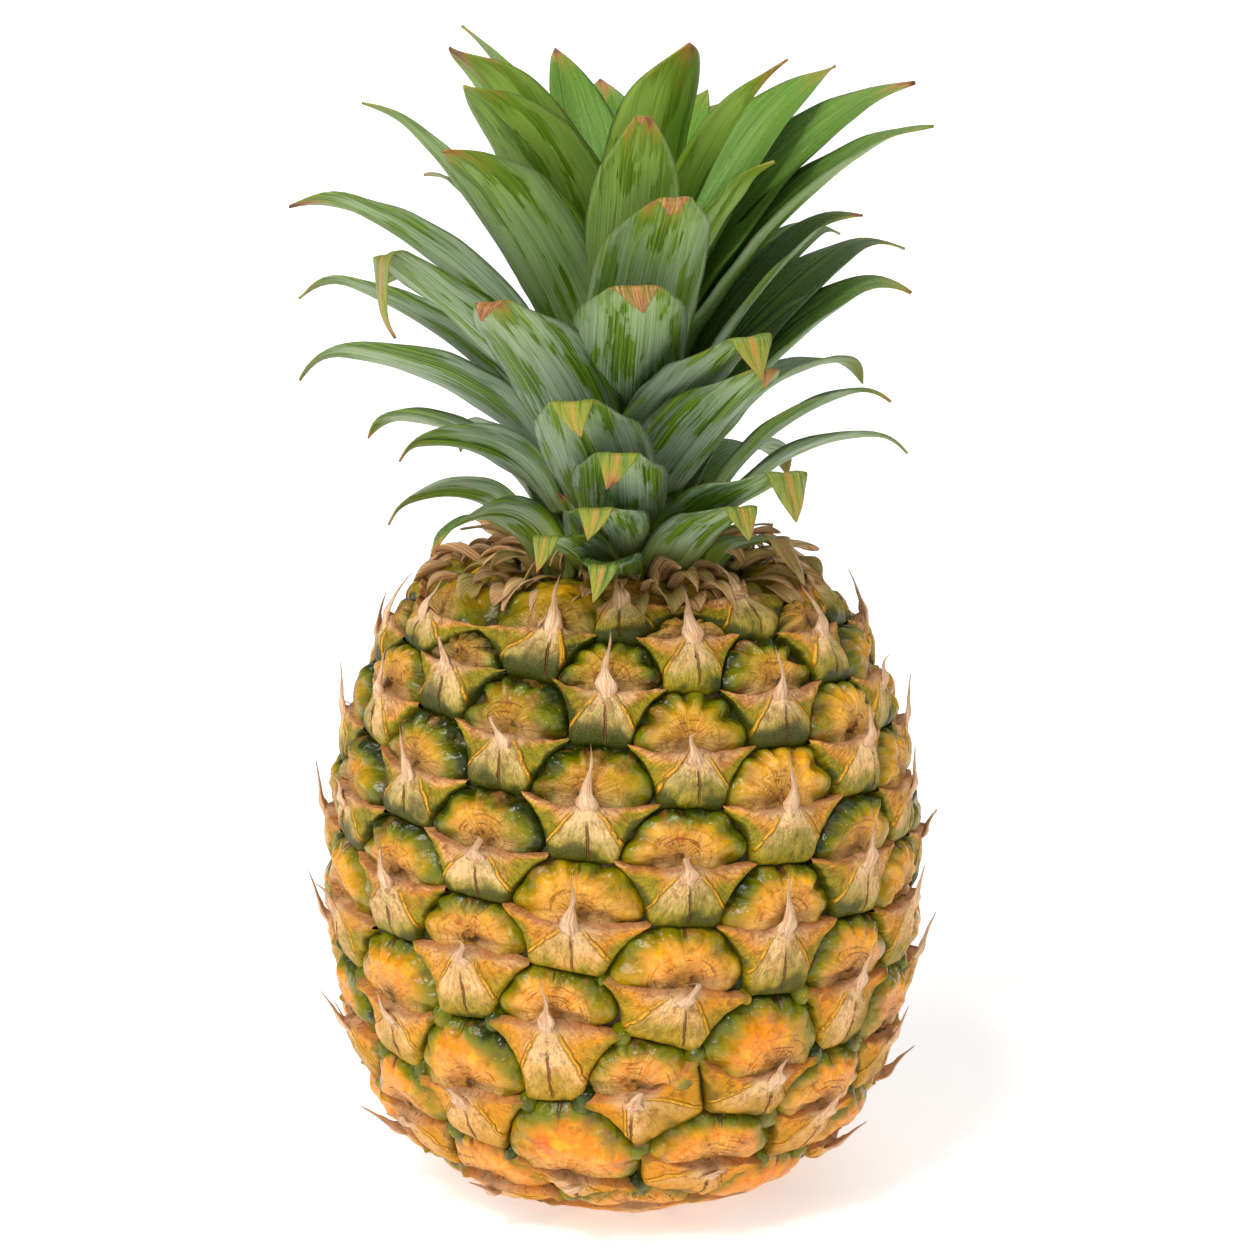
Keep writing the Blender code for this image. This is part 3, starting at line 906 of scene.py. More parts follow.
def build_blade(
    shell,
    azimuth,
    radius,
    height,
    length,
    width,
    slopes,
    seed,
    stations=BLADE_STATIONS,
    points=BLADE_POINTS,
    channel=LEAF_CHANNEL,
    thick=LEAF_THICK,
    foot=LEAF_FOOT_SHARE,
    power=2.5,
    wave=0.5,
    twist=None,
    roll=0.0,
    fold=NO_FOLD,
    sheath=0.0,
    fresh=0.5,
    dry=0.0,
):
    """One thin channelled blade that starts at a radius and a height and follows its slopes.

    slopes gives degrees at shares of the length. channel is the radius of the section as a share
    of the width, foot the width at the foot and power the bluntness of the taper. wave, twist and
    roll bend the section, fold is where the tip hangs over, and sheath how far the foot bulges.
    fresh and dry go to the material.
    """
    luck = random.Random(4000 + seed)
    drawn_twist = luck.uniform(-0.15, 0.15)
    t, reach, climb, slope = blade_path(radius, height, length, slopes, stations, fold, sheath)
    section = np.concatenate([np.linspace(-1, 1, points), np.linspace(1, -1, points)[1:-1]])
    face = np.concatenate([-np.ones(points), np.ones(points - 2)])
    face[0] = face[points - 1] = 0.0
    count = len(section)
    across = np.tile(section, len(t))
    side = np.tile(face, len(t))
    along = np.repeat(t, count)

    hang = np.clip((along - fold) / max(1.0 - fold, 0.01), 0.0, 1.0)
    bend = width * (channel + 1.1 * smooth((along - fold + 0.25) / 0.25))
    wide = width * leaf_width(along, foot, power)
    if fold < 1.0:
        at_fold = width * leaf_width(np.array(fold), foot, power)
        wide = np.where(along > fold, at_fold * (1.0 - 0.97 * hang ** FLAP_POWER), wide)
    half = wide / (2.0 * bend)
    lens = np.sqrt(np.clip(1.0 - across ** 2, 0.0, 1.0)) * 0.85 + 0.15
    inner = bend - side * thick * (1.0 - LEAF_THINNING * along) / 2.0 * lens
    x = np.sin(across * half) * inner
    deep = bend - inner * np.cos(across * half)
    ripple = lumps(9.0, seed + 50, along * length, across * 6.0)
    deep = deep + wave * ripple * (0.25 + np.abs(across))
    deep = deep - 0.16 * np.cos(across * math.pi * 2.0) * np.minimum(wide / 14.0, 1.0)
    x = x + wave * 0.5 * lumps(14.0, seed + 90, along * length, across * 6.0)
    sway = random.Random(9000 + seed).choice((-1.0, 1.0)) * FLAP_SWAY
    x = x + sway * length * max(1.0 - fold, 0.0) * hang ** 2

    twist = (drawn_twist if twist is None else twist) * along ** 1.5
    twist = twist + roll * smooth(along / 0.4) * (1.0 - 0.5 * along)
    x, deep = x * np.cos(twist) - deep * np.sin(twist), x * np.sin(twist) + deep * np.cos(twist)
    slant = np.repeat(slope, count)
    r = np.repeat(reach, count) - np.sin(slant) * deep
    z = np.repeat(climb, count) + np.cos(slant) * deep
    turn = math.radians(azimuth)
    sine, cosine = math.sin(turn), math.cos(turn)
    shell.add(
        side_by_side(x * cosine + r * sine, x * sine - r * cosine, z),
        tube_faces(len(t), count),
        place=(across, along, along * length / 10.0),
        tone=(luck.random(), dry, side),
        rim=(fresh, np.maximum(along - fold, -0.5) * 10.0, wide),
    )


def leaf_look(number, share, azimuth):
    """What sets one leaf apart: its freshness, taper, sheath, roll and folded tip."""
    low = max(0.0, 1.0 - (number - 1) / SHEATH_LEAVES)
    roll = -LEAF_ROLL * math.sin(math.radians(azimuth))
    if azimuth > 0:
        roll *= -0.7 if number > 23 else 0.3
    look = {
        "fresh": share,
        "power": 2.3 + 0.5 * share,
        "sheath": low,
        "foot": LEAF_FOOT_SHARE + 0.3 * low,
        "roll": roll,
    }
    if number in HOODS:
        power = BLUNT_HOOD_POWER if number in BLUNT_HOODS else HOOD_POWER
        look.update(fold=HOODS[number][0], twist=0.0, power=power)
    if number in BLUNT_LEAVES:
        look["power"] = BLUNT_LEAF_POWER
    if number in DRY_HOODS + BLUNT_LEAVES:
        look["dry"] = 0.35
    return look


def build_leaves():
    material = leaf_finish()
    for i, (azimuth, length, width, droop) in enumerate(LEAVES):
        number = i + 1
        share = i / (len(LEAVES) - 1)
        height = LEAF_LOWEST + LEAF_CLIMB * share ** LEAF_CROWDING
        shell = Shell()
        build_blade(
            shell,
            azimuth + LEAF_TURNS.get(number, 0),
            stem_radius(height) + LEAF_GAP,
            STEM_FOOT + height,
            length,
            width if number in HOODS else width * (1.0 + LEAF_WIDENING * share),
            lambda t: leaf_slope(t, height, droop, number),
            number,
            **leaf_look(number, share, azimuth),
        )
        name = f"leaf_{number:02d}"
        shell.piece(name + "_blade", material, name)


def build_collar():
    """Rings of thin dried bracts, curled each its own way, at the foot of the crown."""
    shell = Shell()
    luck = random.Random(77)
    for ring, (radius, height, count, length, width, lift) in enumerate(COLLAR_RINGS):
        for k in range(count):
            azimuth = 360.0 * (k + 0.5 * ring) / count + luck.uniform(-7, 7)
            start = lift + luck.uniform(-22, 22)
            stop = luck.uniform(-110, -10)
            power = luck.uniform(0.9, 1.8)
            build_blade(
                shell,
                azimuth,
                radius + luck.uniform(-2.0, 2.0),
                height + luck.uniform(-0.8, 0.4),
                length * luck.uniform(0.65, 1.4),
                width * luck.uniform(0.65, 1.3),
                lambda t: start + (stop - start) * t ** power,
                500 + ring * 40 + k,
                stations=16,
                points=7,
                wave=1.2,
                channel=luck.uniform(0.35, 0.7),
                twist=luck.uniform(-1.6, 1.6),
                dry=1.0,
                power=1.2,
                thick=SCRAP_THICK,
                foot=SCRAP_FOOT,
            )
    shell.piece("collar_frill", dry_finish("dried_frill"), "collar_bracts")


def add_stem(shell):
    """The bare stem of the crown, slightly ringed."""
    rise = np.linspace(0.0, STEM_LENGTH, STEM_ROWS)
    radius = stem_radius(rise) * (1.0 + 0.03 * np.sin(rise * 2.4))
    angle = circle(STEM_COLUMNS)
    x = np.outer(radius, np.sin(angle)).ravel()
    y = -np.outer(radius, np.cos(angle)).ravel()
    height = np.repeat(rise, STEM_COLUMNS)
    share = height / STEM_LENGTH
    top = tuple((STEM_ROWS - 1) * STEM_COLUMNS + n for n in range(STEM_COLUMNS))
    shell.add(
        side_by_side(x, y, height + STEM_FOOT),
        grid_faces(STEM_ROWS, STEM_COLUMNS, closed=True) + [top],
        place=(0.0, share * 0.5, share * 6.0),
        tone=(0.4, 0.0, 1.0),
        rim=(0.9, -5.0, 8.0),
    )


def build_heart():
    """Stem of the crown, its scales and the small tight leaves at its growing tip."""
    shell = Shell()
    add_stem(shell)
    for row in range(STEM_SCALE_ROWS):
        for k in range(STEM_SCALES_IN_ROW):
            rise = 1.0 + 8.0 * row
            build_blade(
                shell,
                360.0 * (k + 0.5 * row) / STEM_SCALES_IN_ROW,
                stem_radius(rise),
                STEM_FOOT + rise,
                16.0,
                13.5 - row,
                lambda t: 84.0 - 26.0 * t,
                900 + row * 10 + k,
                stations=14,
                points=9,
                thick=0.8,
                wave=0.4,
                foot=0.9,
                fresh=0.25,
                dry=0.8,
            )
    luck = random.Random(31)
    for k in range(HEART_LEAVES):
        share = k / (HEART_LEAVES - 1)
        spread = 62.0 + 24.0 * share
        build_blade(
            shell,
            GOLDEN_ANGLE * k + 20.0,
            6.5 - 4.5 * share,
            STEM_FOOT + 50.0 + 12.0 * share,
            34.0 - 16.0 * share + luck.uniform(-2, 2),
            11.0 - 5.0 * share,
            lambda t: spread + 14.0 * (t - 0.4),
            800 + k,
            stations=16,
            points=9,
            thick=0.8,
            wave=0.3,
            fresh=1.1,
        )
    shell.piece("crown_heart", leaf_finish("heart_leaf"), "crown_stem")


def build_stalk():
    """Cut end of the stalk: fibres round a sunken pith, inside a ragged rim of bark."""
    low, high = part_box("cut_stem")
    radius = (high.x - low.x) / 2.0 / MM
    depth = high.z / MM
    share = np.append(np.linspace(0.0, 1.0, STALK_RINGS + 1)[1:], np.ones(STALK_WALL_ROWS))
    angle = circle(STALK_SPOKES)
    edge = radius * (0.96 + 0.03 * lumps(0.35, 5, np.cos(angle), np.sin(angle)))
    x, y, rho = dish_points(share, edge, angle)
    z = 0.7 * bell(rho, 0.3) + 0.35 * ramp(rho, 0.9, 0.74) * ramp(rho, 0.3, 0.5)
    z = z + 0.3 + 0.22 * lumps(1.1, 8, x, y) + 0.2 * lumps(3.0, 9, x, y)
    wall = np.repeat(np.linspace(0.0, 1.0, STALK_WALL_ROWS + 1)[1:], STALK_SPOKES)
    z[-1 - len(wall) : -1] = 0.4 + (depth - 0.4) * wall
    faces = dish_faces(STALK_RINGS + STALK_WALL_ROWS, STALK_SPOKES)
    shell = Shell()
    shell.add(
        side_by_side(x, y, np.maximum(z, 0.02)),
        [face[::-1] for face in faces],
        place=(x, y, rho),
    )
    shell.piece("stalk_cut_end", stalk_finish(), "cut_stem")


def build_base():
    """Flattened scraps of dried bracts on the underside, between the stalk and the eyes."""
    shell = Shell()
    luck = random.Random(51)
    for ring, (radius, height, count) in enumerate(BASE_RINGS):
        for k in range(count):
            build_blade(
                shell,
                360.0 * (k + 0.5 * ring) / count + luck.uniform(-6, 6),
                radius + luck.uniform(-0.8, 0.8),
                height,
                luck.uniform(5.5, 7.5),
                luck.uniform(5.5, 7.5),
                np.zeros_like,
                700 + ring * 40 + k,
                stations=14,
                points=7,
                wave=0.25,
                channel=2.0,
                twist=0.0,
                dry=1.0,
                power=1.6,
                thick=SCRAP_THICK,
                foot=SCRAP_FOOT,
            )
    shell.points = [np.maximum(points, (-1e3, -1e3, 0.05)) for points in shell.points]
    shell.piece("base_scraps", dry_finish("dried_scraps"), "fruit")


# ---------------------------------------------------------------- materials


def tint(red, green, blue):
    """A colour named by its screen values from 0 to 255."""
    linear = []
    for value in (red, green, blue):
        value /= 255.0
        linear.append(value / 12.92 if value <= 0.04045 else ((value + 0.055) / 1.055) ** 2.4)
    return (*linear, 1.0)


class Value:
    """The output of a node, with ways to reckon with it that add further nodes."""

    def __init__(self, finish, socket):
        self.finish = finish
        self.socket = socket

    def __add__(self, other):
        return self.finish.math("ADD", self, other)

    def __radd__(self, other):
        return self.finish.math("ADD", other, self)

    def __sub__(self, other):
        return self.finish.math("SUBTRACT", self, other)

    def __rsub__(self, other):
        return self.finish.math("SUBTRACT", other, self)

    def __mul__(self, other):
        return self.finish.math("MULTIPLY", self, other)

    def __abs__(self):
        return self.finish.math("ABSOLUTE", self)

    def ease(self, low, high):
        """0 below low, 1 above high, eased between; high may be under low."""
        if high < low:
            return 1.0 - self.ease(high, low)
        inputs = [("Value", self), ("From Min", low), ("From Max", high)]
        return self.finish.add("ShaderNodeMapRange", inputs, interpolation_type="SMOOTHSTEP")

    def line(self, width):
        """1 where the value is near 0, fading over that width."""
        return abs(self).ease(width, width * 0.25)


class Finish:
    """A procedural material and short ways to add its nodes."""

    def __init__(self, name):
        self.material = bpy.data.materials.new(name)
        self.material.use_nodes = True
        self.tree = self.material.node_tree
        self.shader = self.tree.nodes["Principled BSDF"]

    def add(self, kind, inputs=(), output=0, **settings):
        node = self.tree.nodes.new(kind)
        for key, value in settings.items():
            setattr(node, key, value)
        for socket, value in inputs:
            self.wire(node.inputs[socket], value)
        return Value(self, node.outputs[output])

    def wire(self, socket, value):
        if isinstance(value, Value):
            self.tree.links.new(value.socket, socket)
        else:
            socket.default_value = value

    def set(self, socket, value):
        self.wire(self.shader.inputs[socket], value)

    def painted(self, name):
        """The three painted values of that name."""
        vector = self.add("ShaderNodeAttribute", output=1, attribute_name=name)
        split = self.tree.nodes.new("ShaderNodeSeparateXYZ")
        self.wire(split.inputs[0], vector)
        return [Value(self, socket) for socket in split.outputs]

    def math(self, operation, a, b=0.0):
        return self.add("ShaderNodeMath", [(0, a), (1, b)], operation=operation)

    def least(self, a, b):
        return self.math("MINIMUM", a, b)

    def most(self, a, b):
        return self.math("MAXIMUM", a, b)

    def vector(self, x, y, z):
        return self.add("ShaderNodeCombineXYZ", [(0, x), (1, y), (2, z)])

    def coordinates(self):
        return self.add("ShaderNodeTexCoord", output=3)

    def noise(self, vector, scale, detail=3.0, roughness=0.55, distortion=0.0):
        inputs = [("Vector", vector), ("Scale", scale), ("Detail", detail)]
        inputs += [("Roughness", roughness), ("Distortion", distortion)]
        return self.add("ShaderNodeTexNoise", inputs)

    def spots(self, vector, scale):
        """Distance to the nearest of scattered points."""
        return self.add("ShaderNodeTexVoronoi", [("Vector", vector), ("Scale", scale)])

    def mix(self, share, first, second):
        """Go from one colour to another; a colour is three screen values or a node's output."""
        first, second = (tint(*c) if isinstance(c, tuple) else c for c in (first, second))
        inputs = [("Factor", share), (MIX_FIRST, first), (MIX_SECOND, second)]
        return self.add("ShaderNodeMix", inputs, output=MIX_RESULT, data_type="RGBA")

    def bump(self, height, distance, strength):
        inputs = [("Height", height), ("Distance", distance), ("Strength", strength)]
        return self.add("ShaderNodeBump", inputs)


def cap_finish():
    """Waxy skin of the caps: green rims, orange middles, peach wrinkles round the dimple, painted
    shade in the notches between lobes.
    """
    f = Finish("cap_skin")
    right, up, rho = f.painted("place")
    luck, ripe, pocket = f.painted("tone")
    below_top, dimple, valley = f.painted("rim")
    rho = rho * 0.1
    where = f.coordinates()
    broad = f.noise(where, 95.0, 2.0)
    fine = f.noise(where, 420.0, 4.0)
    unripe = 1.0 - ripe
    drift = broad * 1.1 + fine * 0.35 + (luck - 0.5) * 0.4 - 0.72

    ripeness = (ripe + drift * 0.8).ease(0.15, 0.8)
    centre = f.mix(ripeness, (224, 162, 6), (248, 138, 2))
    rust = f.noise(where, 170.0, 3.0, 0.6)
    centre = f.mix(rust.ease(0.53, 0.66) * 0.65, centre, (210, 90, 2))
    gold = f.noise(where, 250.0, 2.0)
    centre = f.mix(gold.ease(0.52, 0.66) * 0.7, centre, (252, 180, 14))
    olive = (rho + drift + unripe * 0.42 - 0.1).ease(0.35, 0.9)
    colour = f.mix(olive, centre, (166, 134, 0))
    high = below_top.ease(-9.0, -1.0)
    green = rho + drift * 0.9 + unripe * 0.3 + high * 0.16 - 0.26
    colour = f.mix(green.ease(0.56, 0.9), colour, (108, 112, 0))
    colour = f.mix(green.ease(0.84, 1.1), colour, (32, 46, 2))
    crowded = ripe.ease(0.1, 0.02)
    colour = f.mix(crowded * 0.5, colour, (132, 114, 24))
    stain = f.noise(where, 140.0, 4.0, 0.6)
    colour = f.mix(stain.ease(0.56, 0.66) * 0.5, colour, (166, 100, 46))
    blotch = f.noise(where, 330.0, 4.0, 0.65)
    colour = f.mix(blotch.ease(0.56, 0.7) * 0.5, colour, (92, 78, 14))

    angle = f.math("ARCTAN2", up - 2.2, right)
    sideways = f.math("COSINE", angle) * 3.4
    upward = f.math("SINE", angle) * 3.4
    turn = f.vector(sideways, upward, dimple * 0.16 + luck * 9.0)
    streaks = f.noise(turn, 2.6, 3.0, 0.6)
    near = dimple + drift * 6.0 - ripe * 3.6
    peach = near.ease(7.5, 1.0) * streaks.ease(0.34, 0.56)
    colour = f.mix(peach * 0.8, colour, (244, 178, 88))
    furrow = dimple.ease(6.0, 0.8) * streaks.ease(0.46, 0.34)
    colour = f.mix(furrow * 0.7, colour, (160, 84, 22))
    arcs = f.noise(f.vector(angle * 0.7, dimple * 1.5, luck * 17.0), 1.3, 3.0)
    ringed = arcs.ease(0.58, 0.66) * (dimple - ripe * 3.0).ease(6.5, 2.0)
    colour = f.mix(ringed * 0.8, colour, (160, 84, 34))
    colour = f.mix(pocket * 0.8, colour, (206, 160, 100))
    # Painted shade: darker olive in the notches between the lobes, towards the rim.
    colour = f.mix(valley * rho.ease(0.4, 0.85) * 0.6, colour, (74, 66, 6))
    dry = dimple.ease(2.2, 0.8) * fine.ease(0.5, 0.62)
    colour = f.mix(dry * 0.8, colour, (70, 42, 22))
    suture = (right + fine * 0.8 - 0.4).line(0.5) * rho.ease(0.62, 0.85)
    suture = suture * below_top.ease(-5.0, -2.5)
    colour = f.mix(suture * 0.85, colour, (92, 52, 34))
    specks = f.spots(where, 620.0).ease(0.16, 0.08)
    colour = f.mix(specks * 0.35, colour, (238, 208, 140))
    f.set("Base Color", colour)

    wrinkle = streaks.ease(0.3, 0.7) * dimple.ease(9.0, 2.0)
    bubbles = f.noise(where, 210.0, 2.0, 0.5)
    relief = ringed * -0.8 + wrinkle * 0.9 + fine * 0.5 + specks * 0.12
    relief = relief + bubbles * 2.6 - suture * 0.5
    f.set("Normal", f.bump(relief, 0.0007, 0.9))
    f.set("Roughness", 0.17 + pocket * 0.3 + peach * 0.2 + fine * 0.12)
    f.set("Specular IOR Level", 0.34)
    f.set("Subsurface Weight", 0.08)
    f.set("Subsurface Radius", (0.004, 0.002, 0.0008))
    f.set("Subsurface Scale", 0.5)
    return f.material


def bract_finish():
    """Papery bracts: peach fan, yellow veins, speckled wings, green feet and a brown lip."""
    f = Finish("bract_skin")
    right, up, down = f.painted("place")
    luck, ripe, edge = f.painted("tone")
    vein_left, vein_right, across = f.painted("rim")
    down = down * 0.1
    where = f.coordinates()
    broad = f.noise(where, 120.0, 2.0)
    fine = f.noise(where, 520.0, 4.0, 0.65)
    drift = broad - 0.5
    unripe = 1.0 - ripe

    lowered = 3.0 - up
    spoke = f.math("ARCTAN2", right, lowered)
    far = f.math("SQRT", right * right + lowered * lowered)
    fibres = f.noise(f.vector(spoke * 5.0, far * 0.16, luck * 40.0), 2.6, 4.0, 0.62, 0.3)
    hairs = f.noise(f.vector(spoke * 12.0, far * 0.3, luck * 70.0), 3.0, 3.0, 0.6)
    fibres = fibres * 0.55 + hairs * 0.45
    colour = f.mix(fibres.ease(0.38, 0.62), (190, 118, 56), (238, 188, 126))
    warm = (down + drift * 1.5 + abs(across) * 0.25).ease(0.05, 0.5)
    gold = f.mix(fibres.ease(0.36, 0.64), (196, 124, 4), (244, 170, 16))
    colour = f.mix(warm * 0.8, colour, gold)
    other = f.math("FRACT", luck * 7.31)
    orange = (other + drift).ease(0.55, 0.95) * abs(across).ease(0.1, 0.5)
    colour = f.mix(orange * ripe.ease(0.25, 0.8), colour, (232, 140, 18))
    glow = (ripe + drift * 0.8).ease(0.35, 0.85)
    colour = f.mix(glow * 0.75, colour, (246, 160, 12))
    junction = abs(across).ease(0.66, 0.92) * ripe.ease(0.4, 0.65)
    colour = f.mix(junction * 0.75, colour, (86, 104, 4))
    foot = down + drift * 1.5 + unripe * 0.26 + luck * 0.34 - 0.28
    green = foot.ease(0.28, 0.66) * (-0.06 + unripe * 1.75)
    moss = f.mix(fibres.ease(0.3, 0.7), (100, 106, 2), (180, 154, 18))
    green = f.least(f.most(green, 0.0), 0.95)
    colour = f.mix(green, colour, moss)
    dark_foot = foot.ease(0.78, 1.02) * (0.55 + unripe * 0.4)
    colour = f.mix(f.least(dark_foot, 0.92), colour, (44, 58, 2))

    inside = f.least(0.0 - vein_left, vein_right)
    fan = inside.ease(-0.8, 1.2) * (down + drift * 0.8).ease(0.85, 0.15)
    fan = fan * (0.45 + fibres.ease(0.4, 0.56) * 0.55)
    fan = fan * (1.0 - glow * 0.35)
    colour = f.mix(fan, colour, (248, 208, 146))
    knot = (far + drift * 3.0).ease(8.0, 3.0)
    colour = f.mix(knot * 0.85, colour, (252, 212, 156))
    speck = f.spots(f.vector(right, up * 0.7, luck), 2.9)
    flecks = speck.ease(0.3, 0.16) * (broad.ease(0.42, 0.55) * down.ease(0.95, 0.6))
    colour = f.mix(flecks * 0.5, colour, (246, 212, 130))
    brown = (fine + other * 0.08).ease(0.56, 0.68) * down.ease(0.9, 0.2)
    colour = f.mix(brown * 0.55, colour, (140, 76, 24))

    wander = (broad - 0.5) * 2.4
    left_line = (vein_left + wander).line(0.62)
    vein = f.most(left_line, (vein_right + wander).line(0.62))
    vein = vein * (down.ease(0.02, 0.14) * down.ease(1.0, 0.75))
    vein = vein * fine.ease(0.3, 0.46)
    colour = f.mix(vein * 0.85, colour, (246, 176, 44))
    wave = right + fine * 1.1 - 0.55
    crease = wave.line(0.36) * (down.ease(0.22, 0.42) * down.ease(0.95, 0.8))
    crease = crease * (luck + fine * 0.5).ease(0.25, 0.45)
    colour = f.mix(crease * 0.8, colour, (132, 66, 30))
    colour = f.mix(edge * 0.6, colour, (168, 104, 66))
    f.set("Base Color", colour)

    relief = fibres * 0.5 + fine * 0.35 + vein * 0.6 + flecks * 0.25
    relief = relief - crease * 0.7
    f.set("Normal", f.bump(relief, 0.0017, 1.0))
    f.set("Roughness", 0.32 + fine * 0.22 + down.ease(0.6, 0.1) * 0.16)
    f.set("Specular IOR Level", 0.26)
    return f.material


def spike_finish():
    """Dry papery spikes: pale peach with brown edges and tips."""
    f = Finish("spike_paper")
    side, run, _ = f.painted("place")
    luck, _, _ = f.painted("tone")
    where = f.coordinates()
    fibre = f.noise(f.vector(side * 2.0, run * 1.2, luck * 30.0), 3.0, 4.0)
    colour = f.mix(fibre.ease(0.35, 0.65), (206, 150, 102), (240, 206, 166))
    edges = abs(side).ease(0.8, 1.0) * run.ease(0.2, 0.5)
    colour = f.mix(edges * 0.4, colour, (150, 92, 56))
    colour = f.mix(run.ease(0.82, 1.0) * 0.7, colour, (140, 84, 48))
    fine = f.noise(where, 700.0, 3.0)
    colour = f.mix(fine.ease(0.56, 0.7) * 0.35, colour, (158, 98, 60))
    f.set("Base Color", colour)
    f.set("Normal", f.bump(fibre + fine * 0.4, 0.0006, 0.8))
    f.set("Roughness", 0.5 + fine * 0.2)
    return f.material


def body_finish():
    """Dark green and brown skin at the bottom of the grooves."""
    f = Finish("groove_skin")
    where = f.coordinates()
    broad = f.noise(where, 150.0, 3.0)
    colour = f.mix(broad.ease(0.4, 0.6), (52, 58, 10), (74, 50, 14))
    f.set("Base Color", colour)
    f.set("Normal", f.bump(f.noise(where, 600.0, 4.0), 0.0006, 0.7))
    f.set("Roughness", 0.5 + broad * 0.2)
    return f.material


def leaf_finish(name="leaf_blade"):
    """Leaves: grey-green bloom rubbed off in patches, ribs, glossy inner face, dried tips,
    painted shade and highlights.
    """
    f = Finish(name)
    across, along, run = f.painted("place")
    luck, dry, face = f.painted("tone")
    fresh, past_fold, wide = f.painted("rim")
    where = f.coordinates()
    side = across * wide
    seed = luck * 37.0
    ribs = f.noise(f.vector(side, run * 0.05, seed), 2.2, 3.0, 0.6)
    strokes = f.noise(f.vector(side * 0.55, run * 0.45, seed), 1.6, 3.0, 0.55)
    broad = f.noise(f.vector(side * 0.16, run * 0.4, seed), 1.0, 3.0, 0.6)
    fine = f.noise(where, 900.0, 3.0)

    bloom = f.mix(ribs.ease(0.38, 0.62), (98, 130, 92), (170, 192, 150))
    bloom = f.mix(along.ease(0.4, 0.95) * 0.6, bloom, (150, 178, 76))
    bloom = f.mix(fresh.ease(0.5, 0.95) * 0.8, bloom, (158, 192, 50))
    # Painted shade: the bloom turns dark green towards both margins and in broad patches, less on
    # fresh leaves.
    shade = abs(across).ease(0.35, 1.0) * 0.5 + broad * 0.5
    painted_shade_share = shade.ease(0.28, 0.66) * (0.66 - fresh * 0.42)
    bloom = f.mix(painted_shade_share, bloom, (58, 94, 44))
    # Paler bloom in broad patches, mostly on older leaves: partly the wax's own colour, partly a
    # painted highlight.
    pale_bloom_and_highlight = broad.ease(0.52, 0.4) * fresh.ease(0.9, 0.4)
    bloom = f.mix(pale_bloom_and_highlight * 0.35, bloom, (206, 218, 190))
    rubbed = f.mix(ribs.ease(0.38, 0.62), (56, 92, 20), (136, 170, 40))
    rubbed = f.mix(fresh.ease(0.5, 0.95) * 0.5, rubbed, (126, 164, 20))
    patch = (broad + (strokes - 0.5) * 0.22).ease(0.53, 0.55)
    patch = f.most(patch, (along + broad * 0.5).ease(1.02, 1.15))
    outer = f.mix(patch, bloom, rubbed)
    scratch = ribs.ease(0.63, 0.7) * strokes.ease(0.5, 0.6)
    outer = f.mix(scratch * 0.55, outer, (44, 70, 44))

    inner = f.mix(ribs.ease(0.38, 0.62), (60, 92, 34), (116, 150, 62))
    inner = f.mix(fresh.ease(0.55, 0.95) * 0.6, inner, (112, 164, 30))
    flap = f.mix((strokes + luck * 0.2).ease(0.45, 0.7), (82, 116, 22), (158, 156, 46))
    inner = f.mix(past_fold.ease(-0.3, 0.6) * 0.75, inner, flap)
    colour = f.mix(face.ease(-0.1, 0.1), outer, inner)

    centred = across + strokes * 0.3 - 0.15
    midline = centred.line(0.24) * past_fold.ease(-0.2, 0.5)
    colour = f.mix(midline * 0.65, colour, (210, 138, 66))
    age = along + (broad - 0.5) * 0.5 + dry * 0.1
    colour = f.mix(age.ease(0.86, 0.99) * 0.7, colour, (160, 156, 40))
    colour = f.mix(age.ease(0.95, 1.04) * 0.85, colour, (190, 116, 56))
    colour = f.mix(age.ease(1.0, 1.07) * 0.85, colour, (104, 58, 32))
    dried_flap = past_fold.ease(-0.1, 0.2) * dry.ease(0.1, 0.3)
    dried = f.mix(ribs.ease(0.4, 0.6), (132, 78, 40), (204, 146, 86))
    colour = f.mix(dried_flap * 0.6, colour, dried)
    margin = abs(across).ease(0.93, 0.99) * along.ease(0.2, 0.6)
    colour = f.mix(margin * 0.45, colour, (120, 130, 52))
    foot = along.ease(0.16, 0.0)
    colour = f.mix(foot * 0.5, colour, (150, 160, 90))
    pale_foot = (along + broad * 0.3).ease(0.62, 0.26) * fresh.ease(0.4, 0.05)
    colour = f.mix(pale_foot * 0.65, colour, (164, 182, 54))
    f.set("Base Color", colour)

    keel = f.most((across - 0.42).line(0.07), (across + 0.36).line(0.06))
    relief = ribs + fine * 0.15 - patch * 0.25 - keel * 0.5
    f.set("Normal", f.bump(relief, 0.00045, 0.8))
    gloss = face.ease(-0.1, 0.1) * -0.14
    f.set("Roughness", 0.47 + gloss - patch * 0.12 + fine * 0.12)
    f.set("Specular IOR Level", 0.45)
    return f.material


def stalk_finish():
    """Pale fibrous cut of the stalk with brown bundles and a dark dry rim."""
    f = Finish("stalk_cut")
    x, y, rho = f.painted("place")
    where = f.coordinates()
    broad = f.noise(where, 220.0, 3.0)
    fine = f.noise(where, 900.0, 4.0, 0.65)
    colour = f.mix(fine.ease(0.4, 0.6), (176, 146, 96), (226, 204, 158))
    colour = f.mix(rho.ease(0.34, 0.2) * 0.6, colour, (232, 216, 178))
    bundles = f.spots(f.vector(x, y, 0.0), 1.1)
    colour = f.mix(bundles.ease(0.26, 0.12) * 0.7, colour, (120, 84, 46))
    bark = (rho + (broad - 0.5) * 0.3).ease(0.82, 0.93)
    colour = f.mix(bark * 0.85, colour, (104, 76, 38))
    f.set("Base Color", colour)
    relief = bundles.ease(0.3, 0.1) * -0.5 + fine * 0.6
    f.set("Normal", f.bump(relief, 0.0006, 0.9))
    f.set("Roughness", 0.62 + fine * 0.25)
    return f.material


